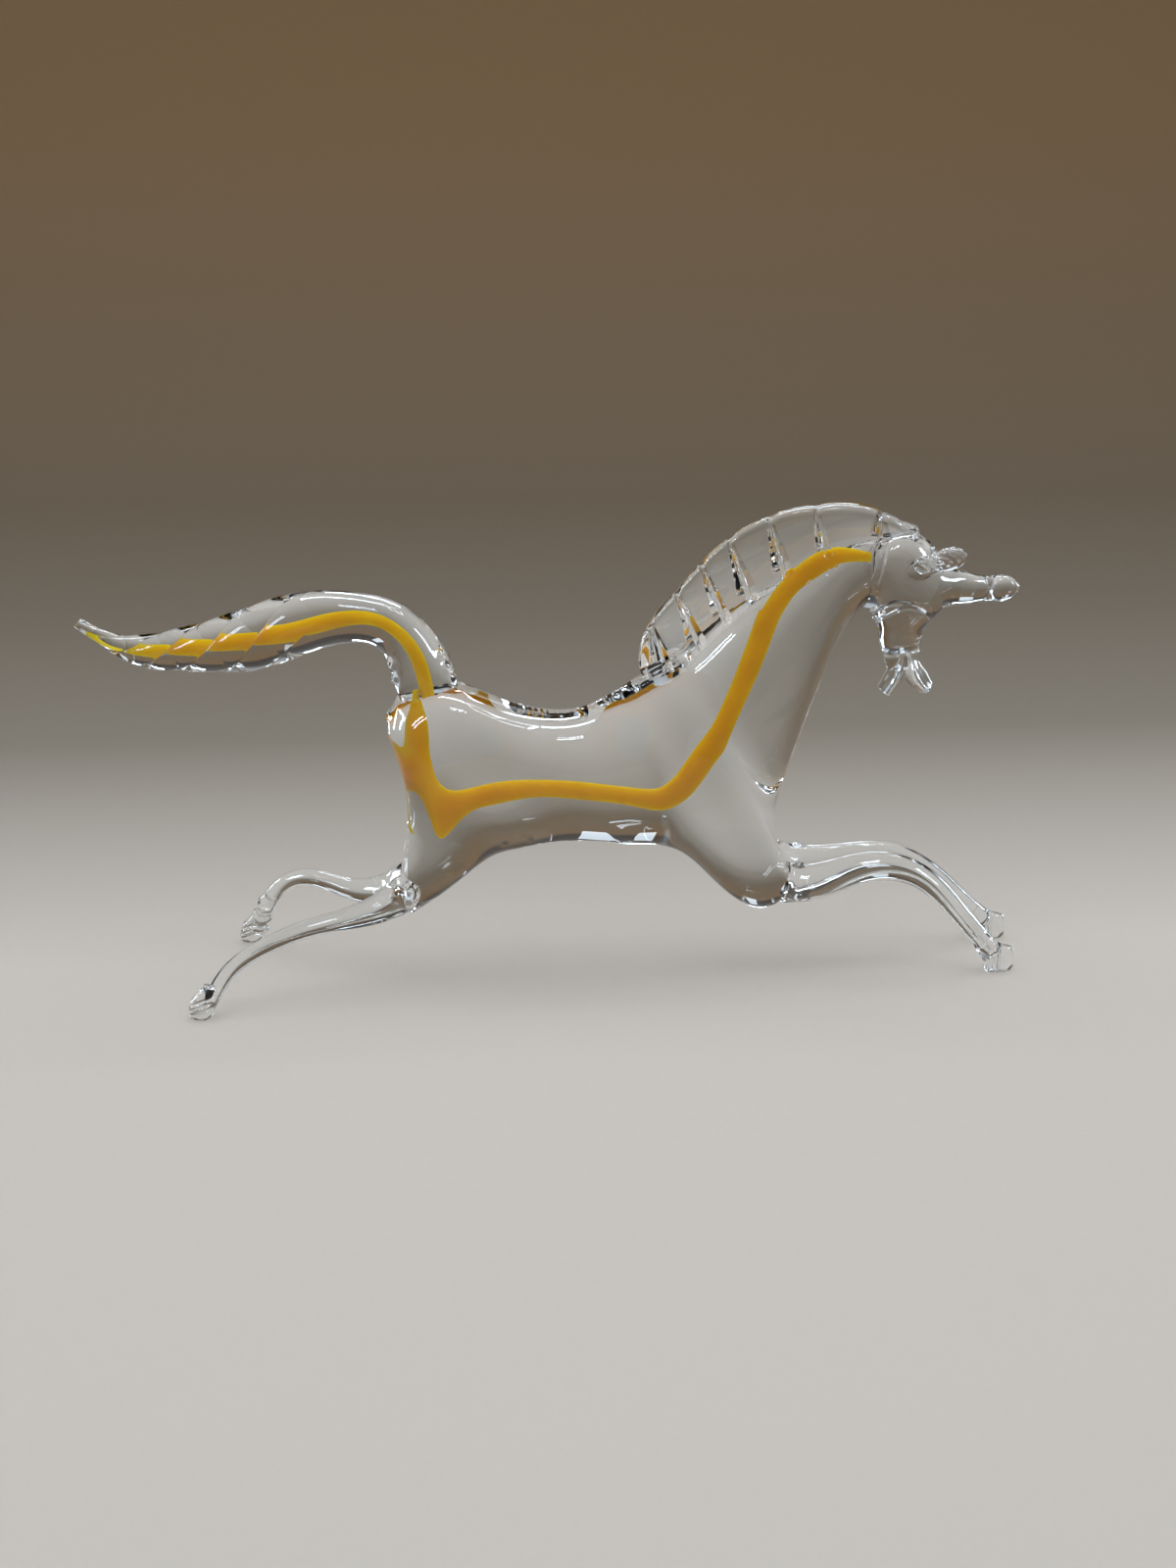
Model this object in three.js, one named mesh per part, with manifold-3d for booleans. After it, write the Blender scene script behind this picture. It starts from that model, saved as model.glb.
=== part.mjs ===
// A galloping horse of lampworked glass: a clear gather with an amber core, drawn out into the body,
// with the head, mane, forelock, ears, tail, legs and hooves welded on.
// Millimetres, +X the way the horse runs, +Y its left side, +Z up.
import * as THREE from "three";
import { mergeVertices } from "three/addons/utils/BufferGeometryUtils.js";
import Module from "manifold-3d";

const wasm = await Module();
wasm.setup();

// The side view is drawn on a grid of this size, and its points are [x, z] in squares of the grid
const SQUARE_LENGTH = 1;
const SQUARE_HEIGHT = 1;

// Gap left at each weld and round each core
const WELD_GAP = 0.3;

// Amber cores: how thick they are across Y, and how far their blind ends bulge
const CORE_THICKNESS = 3.6;
const STRAND_THICKNESS = 1.6;
const TAIL_CORE_THICKNESS = 3;
const CORE_BULGE = 0.5;

// Widths of the body across Y, and how far its two ends bulge
const STIFLE_WIDTH = 11;
const HAUNCH_WIDTH = 24;
const BARREL_WIDTH = 23;
const CHEST_WIDTH = 24;
const NECK_WIDTH = 16;
const POLL_WIDTH = 12.4;
const STIFLE_BULGE = 2;
const POLL_BULGE = 0.4;

// Head, with its snipped lips
const CHEEK_WIDTH = 12.8;
const MUZZLE_WIDTH = 6.8;
const MUZZLE_BULGE = 0.6;
const LIP_THICKNESS = 2.4;
const LIP_WIDTH = 5.4;
const LIP_BULGE = 0.6;

// Mane, with its flared root sunk in the neck, and the pleats pinched into it
const MANE_HEIGHT = 12.3;
const MANE_ROOT_THICKNESS = 14;
const MANE_RIM_THICKNESS = 2.8;
const MANE_SINK = 8;
const PLEAT_DEPTH = 1.6;
const PLEAT_BREADTH = 3;

// Forelock and ears
const FORELOCK_WIDTH = 4.6;
const FORELOCK_BULGE = 0.6;
const EAR_LENGTH = 12;
const EAR_WIDTH = 4.6;
const EAR_THICKNESS = 2;

// Tail, fluted and twisted
const TAIL_ROOT_WIDTH = 12;
const TAIL_WIDTH = 10.8;
const TAIL_TIP_WIDTH = 2;
const FLUTE_COUNT = 3;
const FLUTE_TURNS = 2;
const FLUTE_DEPTH = 0.9;

// Legs and hooves
const FORELEG_ROOT_DIAMETER = 8.2;
const FORELEG_SHANK_DIAMETER = 4.1;
const HIND_LEG_ROOT_DIAMETER = 6.8;
const HIND_LEG_SHANK_DIAMETER = 3;
const FORE_TRACK = 20;
const HIND_TRACK = 44;
const FORE_HOOF_LENGTH = 9.4;
const HIND_HOOF_LENGTH = 8.4;
const HOOF_WIDTH = 6.2;
const HOOF_THICKNESS = 4.6;
const HOOF_PINCH = 1;
const SOLE_CUT = 0.7;

// Ribs of the body from the stifle up over the croup, along the barrel and up the neck to the poll
const BODY_RIBS = [
  { top: [-32.2, 19.6], bottom: [-28.2, 14.8], width: STIFLE_WIDTH * 0.8 },
  { top: [-31.2, 25], bottom: [-21.6, 19.6], width: STIFLE_WIDTH * 1.3 },
  { top: [-29.8, 36], bottom: [-12.5, 27.2], width: HAUNCH_WIDTH * 0.84 },
  { top: [-31.6, 49], bottom: [-6, 29.6], width: HAUNCH_WIDTH * 0.98 },
  { top: [-33, 58.6], bottom: [-1, 30.1], width: HAUNCH_WIDTH },
  { top: [-24, 64.8], bottom: [4, 30.1], width: HAUNCH_WIDTH * 0.98 },
  { top: [-10, 61], bottom: [11, 29.7], width: BARREL_WIDTH },
  { top: [6, 58.2], bottom: [19.5, 29.3], width: BARREL_WIDTH },
  { top: [14, 61.4], bottom: [29.5, 26.8], width: BARREL_WIDTH },
  { top: [17.4, 63.6], bottom: [39.5, 17.4], width: CHEST_WIDTH },
  { top: [20.4, 65.6], bottom: [48, 14], width: CHEST_WIDTH },
  { top: [23.8, 67.7], bottom: [52.8, 18.6], width: CHEST_WIDTH },
  { top: [28.5, 71], bottom: [50.6, 27], width: CHEST_WIDTH * 0.92 },
  { top: [39.5, 81], bottom: [49.6, 38], width: NECK_WIDTH * 1.24 },
  { top: [50.3, 88.5], bottom: [52.6, 48], width: NECK_WIDTH * 1.08 },
  { top: [60.5, 93], bottom: [59.6, 67.4], width: NECK_WIDTH * 0.9 },
  { top: [68, 95], bottom: [64.4, 77], width: POLL_WIDTH },
  { top: [74.5, 95.4], bottom: [68, 80], width: POLL_WIDTH },
];
const WITHERS_RIB = 10;

// Ribs of the head from inside the neck down to the snipped mouth, brow side first
const HEAD_RIBS = [
  { top: [71.5, 94.6], bottom: [66.4, 82], width: POLL_WIDTH * 0.9 },
  { top: [78.4, 95.4], bottom: [69, 78.6], width: CHEEK_WIDTH * 0.97 },
  { top: [83.2, 91], bottom: [69.6, 77], width: CHEEK_WIDTH },
  { top: [85.6, 85.4], bottom: [70, 75.4], width: CHEEK_WIDTH * 0.96 },
  { top: [84.6, 80], bottom: [70.6, 73.6], width: CHEEK_WIDTH * 0.86 },
  { top: [81.4, 75.6], bottom: [71.2, 71.2], width: CHEEK_WIDTH * 0.74 },
  { top: [80.4, 70.6], bottom: [71.9, 68.6], width: MUZZLE_WIDTH * 1.16 },
  { top: [80.7, 67], bottom: [72.7, 66.2], width: MUZZLE_WIDTH },
];

// Lips, spread apart where the muzzle was snipped: from inside the muzzle to the tip, and their
// thickness along them as shares
const UPPER_LIP = [[77.4, 70], [78.3, 66.8], [79.6, 64.3], [81.7, 62]];
const LOWER_LIP = [[75.6, 70], [75.3, 66.6], [74.2, 63.8], [72.6, 61.3]];
const UPPER_LIP_TAPER = [1.5, 1.6, 1.7, 1.45];
const LOWER_LIP_TAPER = [1.5, 1.6, 1.4, 1.1];

// Rise of the mane above the crest: [share of the crest from withers to poll, share of the height]
const MANE_RISE = [
  [0, 0.3], [0.04, 0.6], [0.16, 0.86], [0.42, 1], [0.62, 0.88], [0.82, 0.56], [1, 0.12],
];
const MANE_LEVELS = [0, 0.3, 0.42, 0.54, 0.68, 0.82, 0.92, 0.97];
const MANE_LEAN = 0.45;
const MANE_FLARE = 2;
const RIM_ROUNDING = 0.7;
// Pleats: [share of the crest, share of the depth], and how far up the mane they run
const PLEATS = [[0.085, 0.7], [0.215, 1], [0.325, 1], [0.43, 1.1], [0.56, 1.2], [0.7, 0.8], [0.885, 1.2]];
const PLEAT_TIP_SHARE = 0.9;
const PLEAT_LIMIT_SHARE = 0.7;

const FORELOCK_RIBS = [
  { top: [77, 91.6], bottom: [77, 77.4], width: FORELOCK_WIDTH * 2.3 },
  { top: [83, 89.4], bottom: [82.8, 78.6], width: FORELOCK_WIDTH * 1.9 },
  { top: [87.6, 87.4], bottom: [87.4, 79.7], width: FORELOCK_WIDTH * 1.35 },
  { top: [91.4, 86.2], bottom: [91.2, 80.1], width: FORELOCK_WIDTH },
  { top: [94.2, 85.8], bottom: [94.2, 80.5], width: FORELOCK_WIDTH * 0.66 },
  { top: [97.2, 86], bottom: [97.1, 80.2], width: FORELOCK_WIDTH * 0.95 },
  { top: [99.6, 85.2], bottom: [99.5, 81.4], width: FORELOCK_WIDTH * 0.8 },
  { top: [100.4, 84.4], bottom: [100.3, 82.2], width: FORELOCK_WIDTH * 0.5 },
];

// The ears' roots, the way an ear points on the left side, and its width along it as shares
const RIGHT_EAR_ROOT = [75.6, 88.6];
const LEFT_EAR_ROOT = [75.6, 85.2];
const EAR_AIM = new THREE.Vector3(1, 0.12, 0.27).normalize();
const EAR_TAPER = [0.55, 1, 0.96, 0.72, 0.86, 0.92, 0.84, 0.4];

// Ribs of the tail from inside the croup to its tip
const TAIL_RIBS = [
  { top: [-20, 58.5], bottom: [-30, 58], width: TAIL_ROOT_WIDTH * 0.9 },
  { top: [-18.8, 65.6], bottom: [-31.6, 64.5], width: TAIL_ROOT_WIDTH },
  { top: [-21.5, 73], bottom: [-32.8, 69.6], width: TAIL_ROOT_WIDTH * 0.96 },
  { top: [-28, 80.8], bottom: [-35.4, 73.2], width: TAIL_WIDTH * 0.97 },
  { top: [-38, 84.5], bottom: [-40.4, 74.2], width: TAIL_WIDTH * 0.98 },
  { top: [-51, 84.9], bottom: [-48.5, 72.4], width: TAIL_WIDTH },
  { top: [-64, 81.3], bottom: [-60.6, 68.6], width: TAIL_WIDTH * 0.97 },
  { top: [-76.3, 77.8], bottom: [-74, 68.7], width: TAIL_WIDTH * 0.8 },
  { top: [-88, 76.8], bottom: [-86.6, 71], width: TAIL_WIDTH * 0.5 },
  { top: [-92.6, 78.6], bottom: [-93.2, 75.6], width: TAIL_TIP_WIDTH * 1.5 },
  { top: [-95.6, 80.3], bottom: [-97, 78.5], width: TAIL_TIP_WIDTH },
];
const FLUTES_BEGIN_SHARE = 0.4;
const FLUTES_FULL_SHARE = 0.52;
const FLUTE_START_SHARE = 0.2;
const FLUTE_QUICKENING = 1.2;

// Ribs of the amber core from the tail's weld, where it is a thread, down the hip, along the belly
// and up the neck to its blind end at the poll
const CORE_RIBS = [
  { top: [-26.2, 68], bottom: [-27.4, 67.8], width: CORE_THICKNESS * 0.3 },
  { top: [-26, 61.6], bottom: [-27.3, 61.2], width: CORE_THICKNESS * 0.36 },
  { top: [-25.2, 58.9], bottom: [-27.6, 57.7], width: CORE_THICKNESS * 0.75 },
  { top: [-24.4, 55.8], bottom: [-29, 54.7], width: CORE_THICKNESS },
  { top: [-24.4, 51.3], bottom: [-28.6, 49.5], width: CORE_THICKNESS },
  { top: [-23.7, 46.8], bottom: [-26, 42.8], width: CORE_THICKNESS },
  { top: [-22.8, 44.6], bottom: [-24.4, 36], width: CORE_THICKNESS },
  { top: [-21.4, 43.2], bottom: [-22.7, 32.5], width: CORE_THICKNESS },
  { top: [-18.8, 42.6], bottom: [-18.6, 36], width: CORE_THICKNESS },
  { top: [-13, 43.6], bottom: [-12.6, 39.4], width: CORE_THICKNESS },
  { top: [-3.4, 44.2], bottom: [-3.6, 41.2], width: CORE_THICKNESS * 0.9 },
  { top: [8.6, 43.2], bottom: [8.7, 40.3], width: CORE_THICKNESS * 0.85 },
  { top: [18.4, 42], bottom: [18, 38.9], width: CORE_THICKNESS * 0.85 },
  { top: [25.7, 42.5], bottom: [27.6, 37.9], width: CORE_THICKNESS * 0.9 },
  { top: [29.4, 45.4], bottom: [33, 40.2], width: CORE_THICKNESS * 0.95 },
  { top: [36.7, 57], bottom: [40.4, 55.4], width: CORE_THICKNESS * 0.95 },
  { top: [43.5, 73.7], bottom: [47.2, 71.8], width: CORE_THICKNESS * 0.95 },
  { top: [46.3, 80.2], bottom: [49.7, 77.7], width: CORE_THICKNESS * 0.9 },
  { top: [52.6, 87.3], bottom: [54.6, 84.4], width: CORE_THICKNESS * 0.85 },
  { top: [60.2, 91.6], bottom: [60.9, 89], width: CORE_THICKNESS * 0.7 },
  { top: [69, 92.4], bottom: [69.1, 90.7], width: CORE_THICKNESS * 0.45 },
];

// Ribs of the strand that splits off the core at the hip and runs down towards the hind leg
const STRAND_RIBS = [
  { top: [-25, 50.6], bottom: [-28.8, 50], width: STRAND_THICKNESS * 1.3 },
  { top: [-25.2, 45.4], bottom: [-28.9, 45.6], width: STRAND_THICKNESS * 1.2 },
  { top: [-26, 41], bottom: [-27.9, 41.2], width: STRAND_THICKNESS },
  { top: [-26.6, 36.5], bottom: [-27.5, 36.5], width: STRAND_THICKNESS * 0.7 },
  { top: [-26.9, 33], bottom: [-27.2, 33], width: STRAND_THICKNESS * 0.3 },
];

// Ribs of the tail's own core from its root to its blind end near the tip
const TAIL_CORE_RIBS = [
  { top: [-23.3, 57], bottom: [-25.2, 56.6], width: TAIL_CORE_THICKNESS * 0.6 },
  { top: [-23.8, 62.4], bottom: [-25.7, 62], width: TAIL_CORE_THICKNESS * 0.66 },
  { top: [-24.9, 68], bottom: [-26.9, 67.4], width: TAIL_CORE_THICKNESS * 0.72 },
  { top: [-27.7, 74], bottom: [-29.2, 72.9], width: TAIL_CORE_THICKNESS * 0.7 },
  { top: [-33.8, 79.1], bottom: [-34.6, 77.6], width: TAIL_CORE_THICKNESS * 0.7 },
  { top: [-42.1, 80.4], bottom: [-41.9, 78.2], width: TAIL_CORE_THICKNESS * 0.8 },
  { top: [-54.2, 78.2], bottom: [-53.7, 75.4], width: TAIL_CORE_THICKNESS },
  { top: [-65.8, 75.9], bottom: [-65.6, 73.4], width: TAIL_CORE_THICKNESS * 0.9 },
  { top: [-79.8, 74.2], bottom: [-79.7, 72.4], width: TAIL_CORE_THICKNESS * 0.6 },
  { top: [-88.6, 74.4], bottom: [-88.7, 73.6], width: TAIL_CORE_THICKNESS * 0.3 },
];

// Side view of each leg from inside the body, and the place of its hoof along X
const RIGHT_FORELEG = [
  [42, 29], [50, 20.6], [57.4, 20.2], [64.2, 22.3], [72.5, 23.9], [79.4, 22.2], [88.8, 13.6],
];
const LEFT_FORELEG = [
  [42, 30], [50, 22.6], [58.5, 21], [66.5, 21.3], [75.5, 21.6], [83, 19], [92.4, 11.4],
];
const RIGHT_HIND_LEG = [
  [-25, 27], [-29.5, 21], [-35, 18], [-43, 16.3], [-53.1, 14.7], [-61, 12.2], [-67.6, 8.2],
];
const LEFT_HIND_LEG = [
  [-25, 27], [-29.5, 21], [-35.5, 17.2], [-42.5, 16.6], [-50, 18.4], [-55.5, 17.4], [-61, 11.6],
];
const RIGHT_FORE_HOOF = 97.6;
const LEFT_FORE_HOOF = 101;
const RIGHT_HIND_HOOF = -72.8;
const LEFT_HIND_HOOF = -65;
const FORE_HOOF_LEAN = 0.8;
const HIND_HOOF_LEAN = 1.15;
const FORELEG_TAPER = [0.6, 1, 0.95, 0.78, 0.55, 0.3, 0.05, 0, 0];
const HIND_LEG_TAPER = [0.6, 1, 0.9, 0.44, 0.2, 0.1, 0.06, 0, 0];
const HOOF_SHOULDER_SHARE = 0.15;
const HOOF_BALL_SHARE = 0.6;
const HOOF_END_SHARE = 0.986;

// Fineness of the facets
const BODY_SIDES = 24;
const BODY_STEPS = 3;
const CORE_SIDES = 10;
const CORE_STEPS = 2;
const HEAD_SIDES = 12;
const HEAD_STEPS = 2;
const TAIL_SIDES = 18;
const TAIL_STEPS = 6;
const ROD_SIDES = 8;
const FORELOCK_STEPS = 3;
const LEG_STEPS = 20;
const LIP_STEPS = 5;
const EAR_STEPS = 10;
const MANE_STEPS = 16;
const MANE_SAMPLES = 200;
const HOOF_SIDES = 10;
const HOOF_STEPS = 7;
const DOME_STEPS = 2;
const DOME_END_SHARE = 0.8;

const ACROSS = new THREE.Vector3(0, 1, 0);
const UPWARD = new THREE.Vector3(0, 0, 1);
const onSide = ([x, z], y = 0) => new THREE.Vector3(x * SQUARE_LENGTH, y, z * SQUARE_HEIGHT);
const smoothLine = (points) => new THREE.CatmullRomCurve3(points, false, "centripetal");
const smoothValue = (values) => new THREE.SplineCurve(values.map((v, i) => new THREE.Vector2(i, v)));
const list = (count, make) => Array.from({ length: count }, (_, i) => make(i));
const largest = (solid) => solid.decompose().sort((a, b) => b.volume() - a.volume())[0];

function centreOf(ring) {
  const sum = ring.reduce((total, p) => total.add(p), new THREE.Vector3());
  return sum.divideScalar(ring.length);
}

// A solid from a closed geometry, turned so that its faces point out
function toSolid(geometry) {
  geometry.deleteAttribute("normal");
  geometry.deleteAttribute("uv");
  const merged = mergeVertices(geometry);
  const vertProperties = merged.getAttribute("position").array;
  const triVerts = new Uint32Array(merged.index.array);
  const [a, b, c] = [new THREE.Vector3(), new THREE.Vector3(), new THREE.Vector3()];
  let volume = 0;
  for (let i = 0; i < triVerts.length; i += 3) {
    [a, b, c].forEach((p, k) => p.fromArray(vertProperties, 3 * triVerts[i + k]));
    volume += a.dot(b.cross(c));
  }
  if (volume < 0) triVerts.reverse();
  return new wasm.Manifold(new wasm.Mesh({ numProp: 3, vertProperties, triVerts }));
}

// A closed skin over rings of equally many points, with a fan at each end
function skin(rings) {
  const sides = rings[0].length;
  const points = [...rings.flat(), centreOf(rings[0]), centreOf(rings.at(-1))];
  const firstFan = points.length - 2;
  const lastFan = points.length - 1;
  const lastRing = (rings.length - 1) * sides;
  const faces = [];
  for (let j = 0; j < sides; j++) {
    const k = (j + 1) % sides;
    faces.push(firstFan, j, k, lastFan, lastRing + k, lastRing + j);
    for (let ring = 0; ring < lastRing; ring += sides) {
      const next = ring + sides;
      faces.push(ring + j, next + j, ring + k, next + j, next + k, ring + k);
    }
  }
  return toSolid(new THREE.BufferGeometry().setFromPoints(points).setIndex(faces));
}

// Rings with a dome of the given height added past the last one
function domed(rings, height) {
  const last = rings.at(-1);
  const middle = centreOf(last);
  const out = middle.clone().sub(centreOf(rings.at(-2))).setLength(height);
  const dome = list(DOME_STEPS, (k) => {
    const turn = ((DOME_END_SHARE * (k + 1)) / DOME_STEPS) * (Math.PI / 2);
    const top = middle.clone().addScaledVector(out, Math.sin(turn));
    return last.map((p) => p.clone().sub(middle).multiplyScalar(Math.cos(turn)).add(top));
  });
  return [...rings, ...dome];
}

// Oval rings through ribs drawn in the side view, each as wide as its rib says and grown all round.
// The rings turn by a twist that depends on how far along they lie. The factor shapes a ring by its angle
// before the twist, by how far along it lies and by its half width.
function ribRings(ribs, steps, sides, grow = 0, factor = () => 1, twist = () => 0) {
  const tops = smoothLine(ribs.map((rib) => onSide(rib.top)));
  const bottoms = smoothLine(ribs.map((rib) => onSide(rib.bottom)));
  const widths = smoothValue(ribs.map((rib) => rib.width));
  const count = (ribs.length - 1) * steps;
  return list(count + 1, (i) => {
    const along = i / count;
    const top = tops.getPoint(along);
    const middle = bottoms.getPoint(along).add(top).multiplyScalar(0.5);
    const rise = top.sub(middle);
    rise.setLength(rise.length() + grow);
    const half = widths.getPoint(along).y / 2 + grow;
    return list(sides, (j) => {
      const angle = (2 * Math.PI * j) / sides;
      const f = factor(angle, along, half);
      const turn = -(angle + twist(along));
      const point = middle.clone().addScaledVector(rise, f * Math.cos(turn));
      return point.addScaledVector(ACROSS, f * half * Math.sin(turn));
    });
  });
}

// Oval rings square to a line of points, with half sizes up and aside that depend on how far along
function sweptRings(points, steps, sides, halfSizes) {
  const line = smoothLine(points);
  return list(steps + 1, (i) => {
    const along = i / steps;
    const at = line.getPoint(along);
    const ahead = line.getTangent(along);
    const over = ahead.clone().cross(ACROSS).normalize();
    const aside = over.clone().cross(ahead);
    const [tall, wide] = halfSizes(along);
    return list(sides, (j) => {
      const turn = (2 * Math.PI * j) / sides;
      const point = at.clone().addScaledVector(over, tall * Math.cos(turn));
      return point.addScaledVector(aside, wide * Math.sin(turn));
    });
  });
}

// A drawn-out form with a bulging blind end, grown all round for a seam
function blindSkin(ribs, steps, sides, bulge, grow) {
  return skin(domed(ribRings(ribs, steps, sides, grow), bulge + grow));
}

// Amber core of the body, with the strand that splits off it
function coreSkin(grow) {
  const strand = blindSkin(STRAND_RIBS, CORE_STEPS, CORE_SIDES, CORE_BULGE, grow);
  return blindSkin(CORE_RIBS, CORE_STEPS, CORE_SIDES, CORE_BULGE, grow).add(strand);
}

// Body, cast round its core and open only where the core's thread ends under the tail
function bodySkin(grow) {
  const toPoll = domed(ribRings(BODY_RIBS, BODY_STEPS, BODY_SIDES, grow), POLL_BULGE + grow);
  return skin(domed(toPoll.reverse(), STIFLE_BULGE + grow));
}
const wholeBody = bodySkin(0);
const bodySeam = bodySkin(WELD_GAP);
const body = largest(wholeBody.subtract(coreSkin(WELD_GAP)));
const bodyCore = largest(wholeBody.intersect(coreSkin(0)));

// Head: the drawn-down face with its two lips, let into the end of the neck
const headSkin = (grow) => blindSkin(HEAD_RIBS, HEAD_STEPS, HEAD_SIDES, MUZZLE_BULGE, grow);
function lip(line, taper) {
  const thinning = smoothValue(taper);
  const halfSizes = (along) => {
    const share = thinning.getPoint(along).y;
    return [(share * LIP_THICKNESS) / 2, (Math.sqrt(share) * LIP_WIDTH) / 2];
  };
  const points = line.map((p) => onSide(p));
  return skin(domed(sweptRings(points, LIP_STEPS, ROD_SIDES, halfSizes), LIP_BULGE));
}
const lips = lip(UPPER_LIP, UPPER_LIP_TAPER).add(lip(LOWER_LIP, LOWER_LIP_TAPER));
const head = largest(headSkin(0).add(lips).subtract(bodySeam));
const headSeam = headSkin(WELD_GAP);

// Mane: a fin on the crest, flared where it leaves the neck and rounded at the rim. Each pleat is a dart
// between two plain rings, deepest at its heel.
function maneSkin() {
  const crestRibs = [...BODY_RIBS.slice(WITHERS_RIB), HEAD_RIBS[1]];
  const crestLine = smoothLine(crestRibs.map((rib) => onSide(rib.top)));
  const riseLine = new THREE.SplineCurve(MANE_RISE.map((p) => new THREE.Vector2(...p)));
  const risePoints = riseLine.getPoints(MANE_SAMPLES);
  const margin = PLEAT_BREADTH / 2 / crestLine.getLength();
  const darts = PLEATS.flatMap(([at, share]) => [[at - margin, 0], [at, share], [at + margin, 0]]);
  const isPlain = ([u]) => PLEATS.every(([at]) => Math.abs(u - at) > 2 * margin);
  const plain = list(MANE_STEPS + 1, (i) => [i / MANE_STEPS, 0]).filter(isPlain);
  const stations = [...darts, ...plain].sort((a, b) => a[0] - b[0]);
  const rings = stations.map(([u, pleat]) => {
    const crest = crestLine.getPointAt(u);
    const run = crestLine.getTangentAt(u);
    const up = new THREE.Vector3(-run.z, 0, run.x).lerp(UPWARD, MANE_LEAN).normalize();
    const height = MANE_SINK + MANE_HEIGHT * risePoints.find((p) => p.x >= u).y;
    const root = crest.addScaledVector(up, -MANE_SINK);
    const heel = MANE_SINK / height;
    const half = (v) => {
      const flare = (1 - v) ** MANE_FLARE;
      const flank = THREE.MathUtils.lerp(MANE_RIM_THICKNESS, MANE_ROOT_THICKNESS, flare) / 2;
      const rounded = v > MANE_LEVELS.at(-2) ? flank * RIM_ROUNDING : flank;
      const fading = THREE.MathUtils.clamp((PLEAT_TIP_SHARE - v) / (PLEAT_TIP_SHARE - heel), 0, 1);
      return rounded - Math.min(PLEAT_DEPTH * pleat * fading, rounded * PLEAT_LIMIT_SHARE);
    };
    const raised = (v) => root.clone().addScaledVector(up, v * height);
    const edge = (side) => MANE_LEVELS.map((v) => raised(v).addScaledVector(ACROSS, side * half(v)));
    return [...edge(-1), raised(1), ...edge(1).reverse()];
  });
  return skin(rings);
}
const mane = largest(maneSkin().subtract(bodySeam).subtract(headSeam));

// Forelock: a drawn rod flattened at its end
const forelockSkin = blindSkin(FORELOCK_RIBS, FORELOCK_STEPS, ROD_SIDES, FORELOCK_BULGE, 0);
const forelock = largest(forelockSkin.subtract(headSeam));

// An ear: a pressed leaf lying along the side of the head
const earTaper = smoothValue(EAR_TAPER);
function ear(rootAt, side) {
  const root = onSide(rootAt, side * (CHEEK_WIDTH / 2 - EAR_THICKNESS / 2));
  const aim = new THREE.Vector3(EAR_AIM.x, side * EAR_AIM.y, EAR_AIM.z);
  const tip = root.clone().addScaledVector(aim, EAR_LENGTH);
  const halfSizes = (along) => {
    const share = earTaper.getPoint(along).y;
    return [(share * EAR_WIDTH) / 2, (Math.sqrt(share) * EAR_THICKNESS) / 2];
  };
  return largest(skin(sweptRings([root, tip], EAR_STEPS, ROD_SIDES, halfSizes)).subtract(headSeam));
}

// Tail: drawn to a point, with flutes past its first bend that twist faster towards the tip
function flute(angle, along, half) {
  const grown = THREE.MathUtils.smoothstep(along, FLUTES_BEGIN_SHARE, FLUTES_FULL_SHARE);
  const valley = 1 - Math.abs(Math.sin((FLUTE_COUNT * angle) / 2));
  return 1 - (grown * valley * FLUTE_DEPTH) / (half + FLUTE_DEPTH);
}
function fluteTwist(along) {
  const past = Math.max(0, along - FLUTES_BEGIN_SHARE);
  return 2 * Math.PI * (FLUTE_START_SHARE + FLUTE_TURNS * (past + FLUTE_QUICKENING * past ** 2));
}
const tailCoreSkin = (grow) => blindSkin(TAIL_CORE_RIBS, CORE_STEPS, CORE_SIDES, CORE_BULGE, grow);
const flutedTail = skin(ribRings(TAIL_RIBS, TAIL_STEPS, TAIL_SIDES, 0, flute, fluteTwist));
const wholeTail = largest(flutedTail.subtract(bodySeam));
const tail = largest(wholeTail.subtract(tailCoreSkin(WELD_GAP)));
const tailCore = largest(wholeTail.intersect(tailCoreSkin(0)));

// Rings of a hoof from where the leg ends: round there, then a bead pinched flat on both sides
function hoofRings(pastern, aim, length, shank, grow = 0) {
  const over = aim.clone().cross(ACROSS).normalize();
  return list(HOOF_STEPS + 1, (i) => {
    const along = (HOOF_END_SHARE * i) / HOOF_STEPS;
    const swell = THREE.MathUtils.smoothstep(along, HOOF_SHOULDER_SHARE, HOOF_BALL_SHARE);
    const past = Math.max(0, (along - HOOF_BALL_SHARE) / (1 - HOOF_BALL_SHARE));
    const close = Math.sqrt(1 - past ** 2);
    const tall = close * (THREE.MathUtils.lerp(shank, HOOF_WIDTH, swell) / 2 + grow);
    const wide = close * (THREE.MathUtils.lerp(shank, HOOF_THICKNESS, swell) / 2 + grow);
    const at = pastern.clone().addScaledVector(aim, along * (length + 2 * grow) - grow);
    return list(HOOF_SIDES, (j) => {
      const turn = (2 * Math.PI * j) / HOOF_SIDES;
      const pinch = HOOF_PINCH * swell * close * Math.sin(turn) ** 2;
      const point = at.clone().addScaledVector(over, tall * Math.cos(turn));
      return point.addScaledVector(ACROSS, (wide - pinch) * Math.sin(turn));
    });
  });
}

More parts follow.
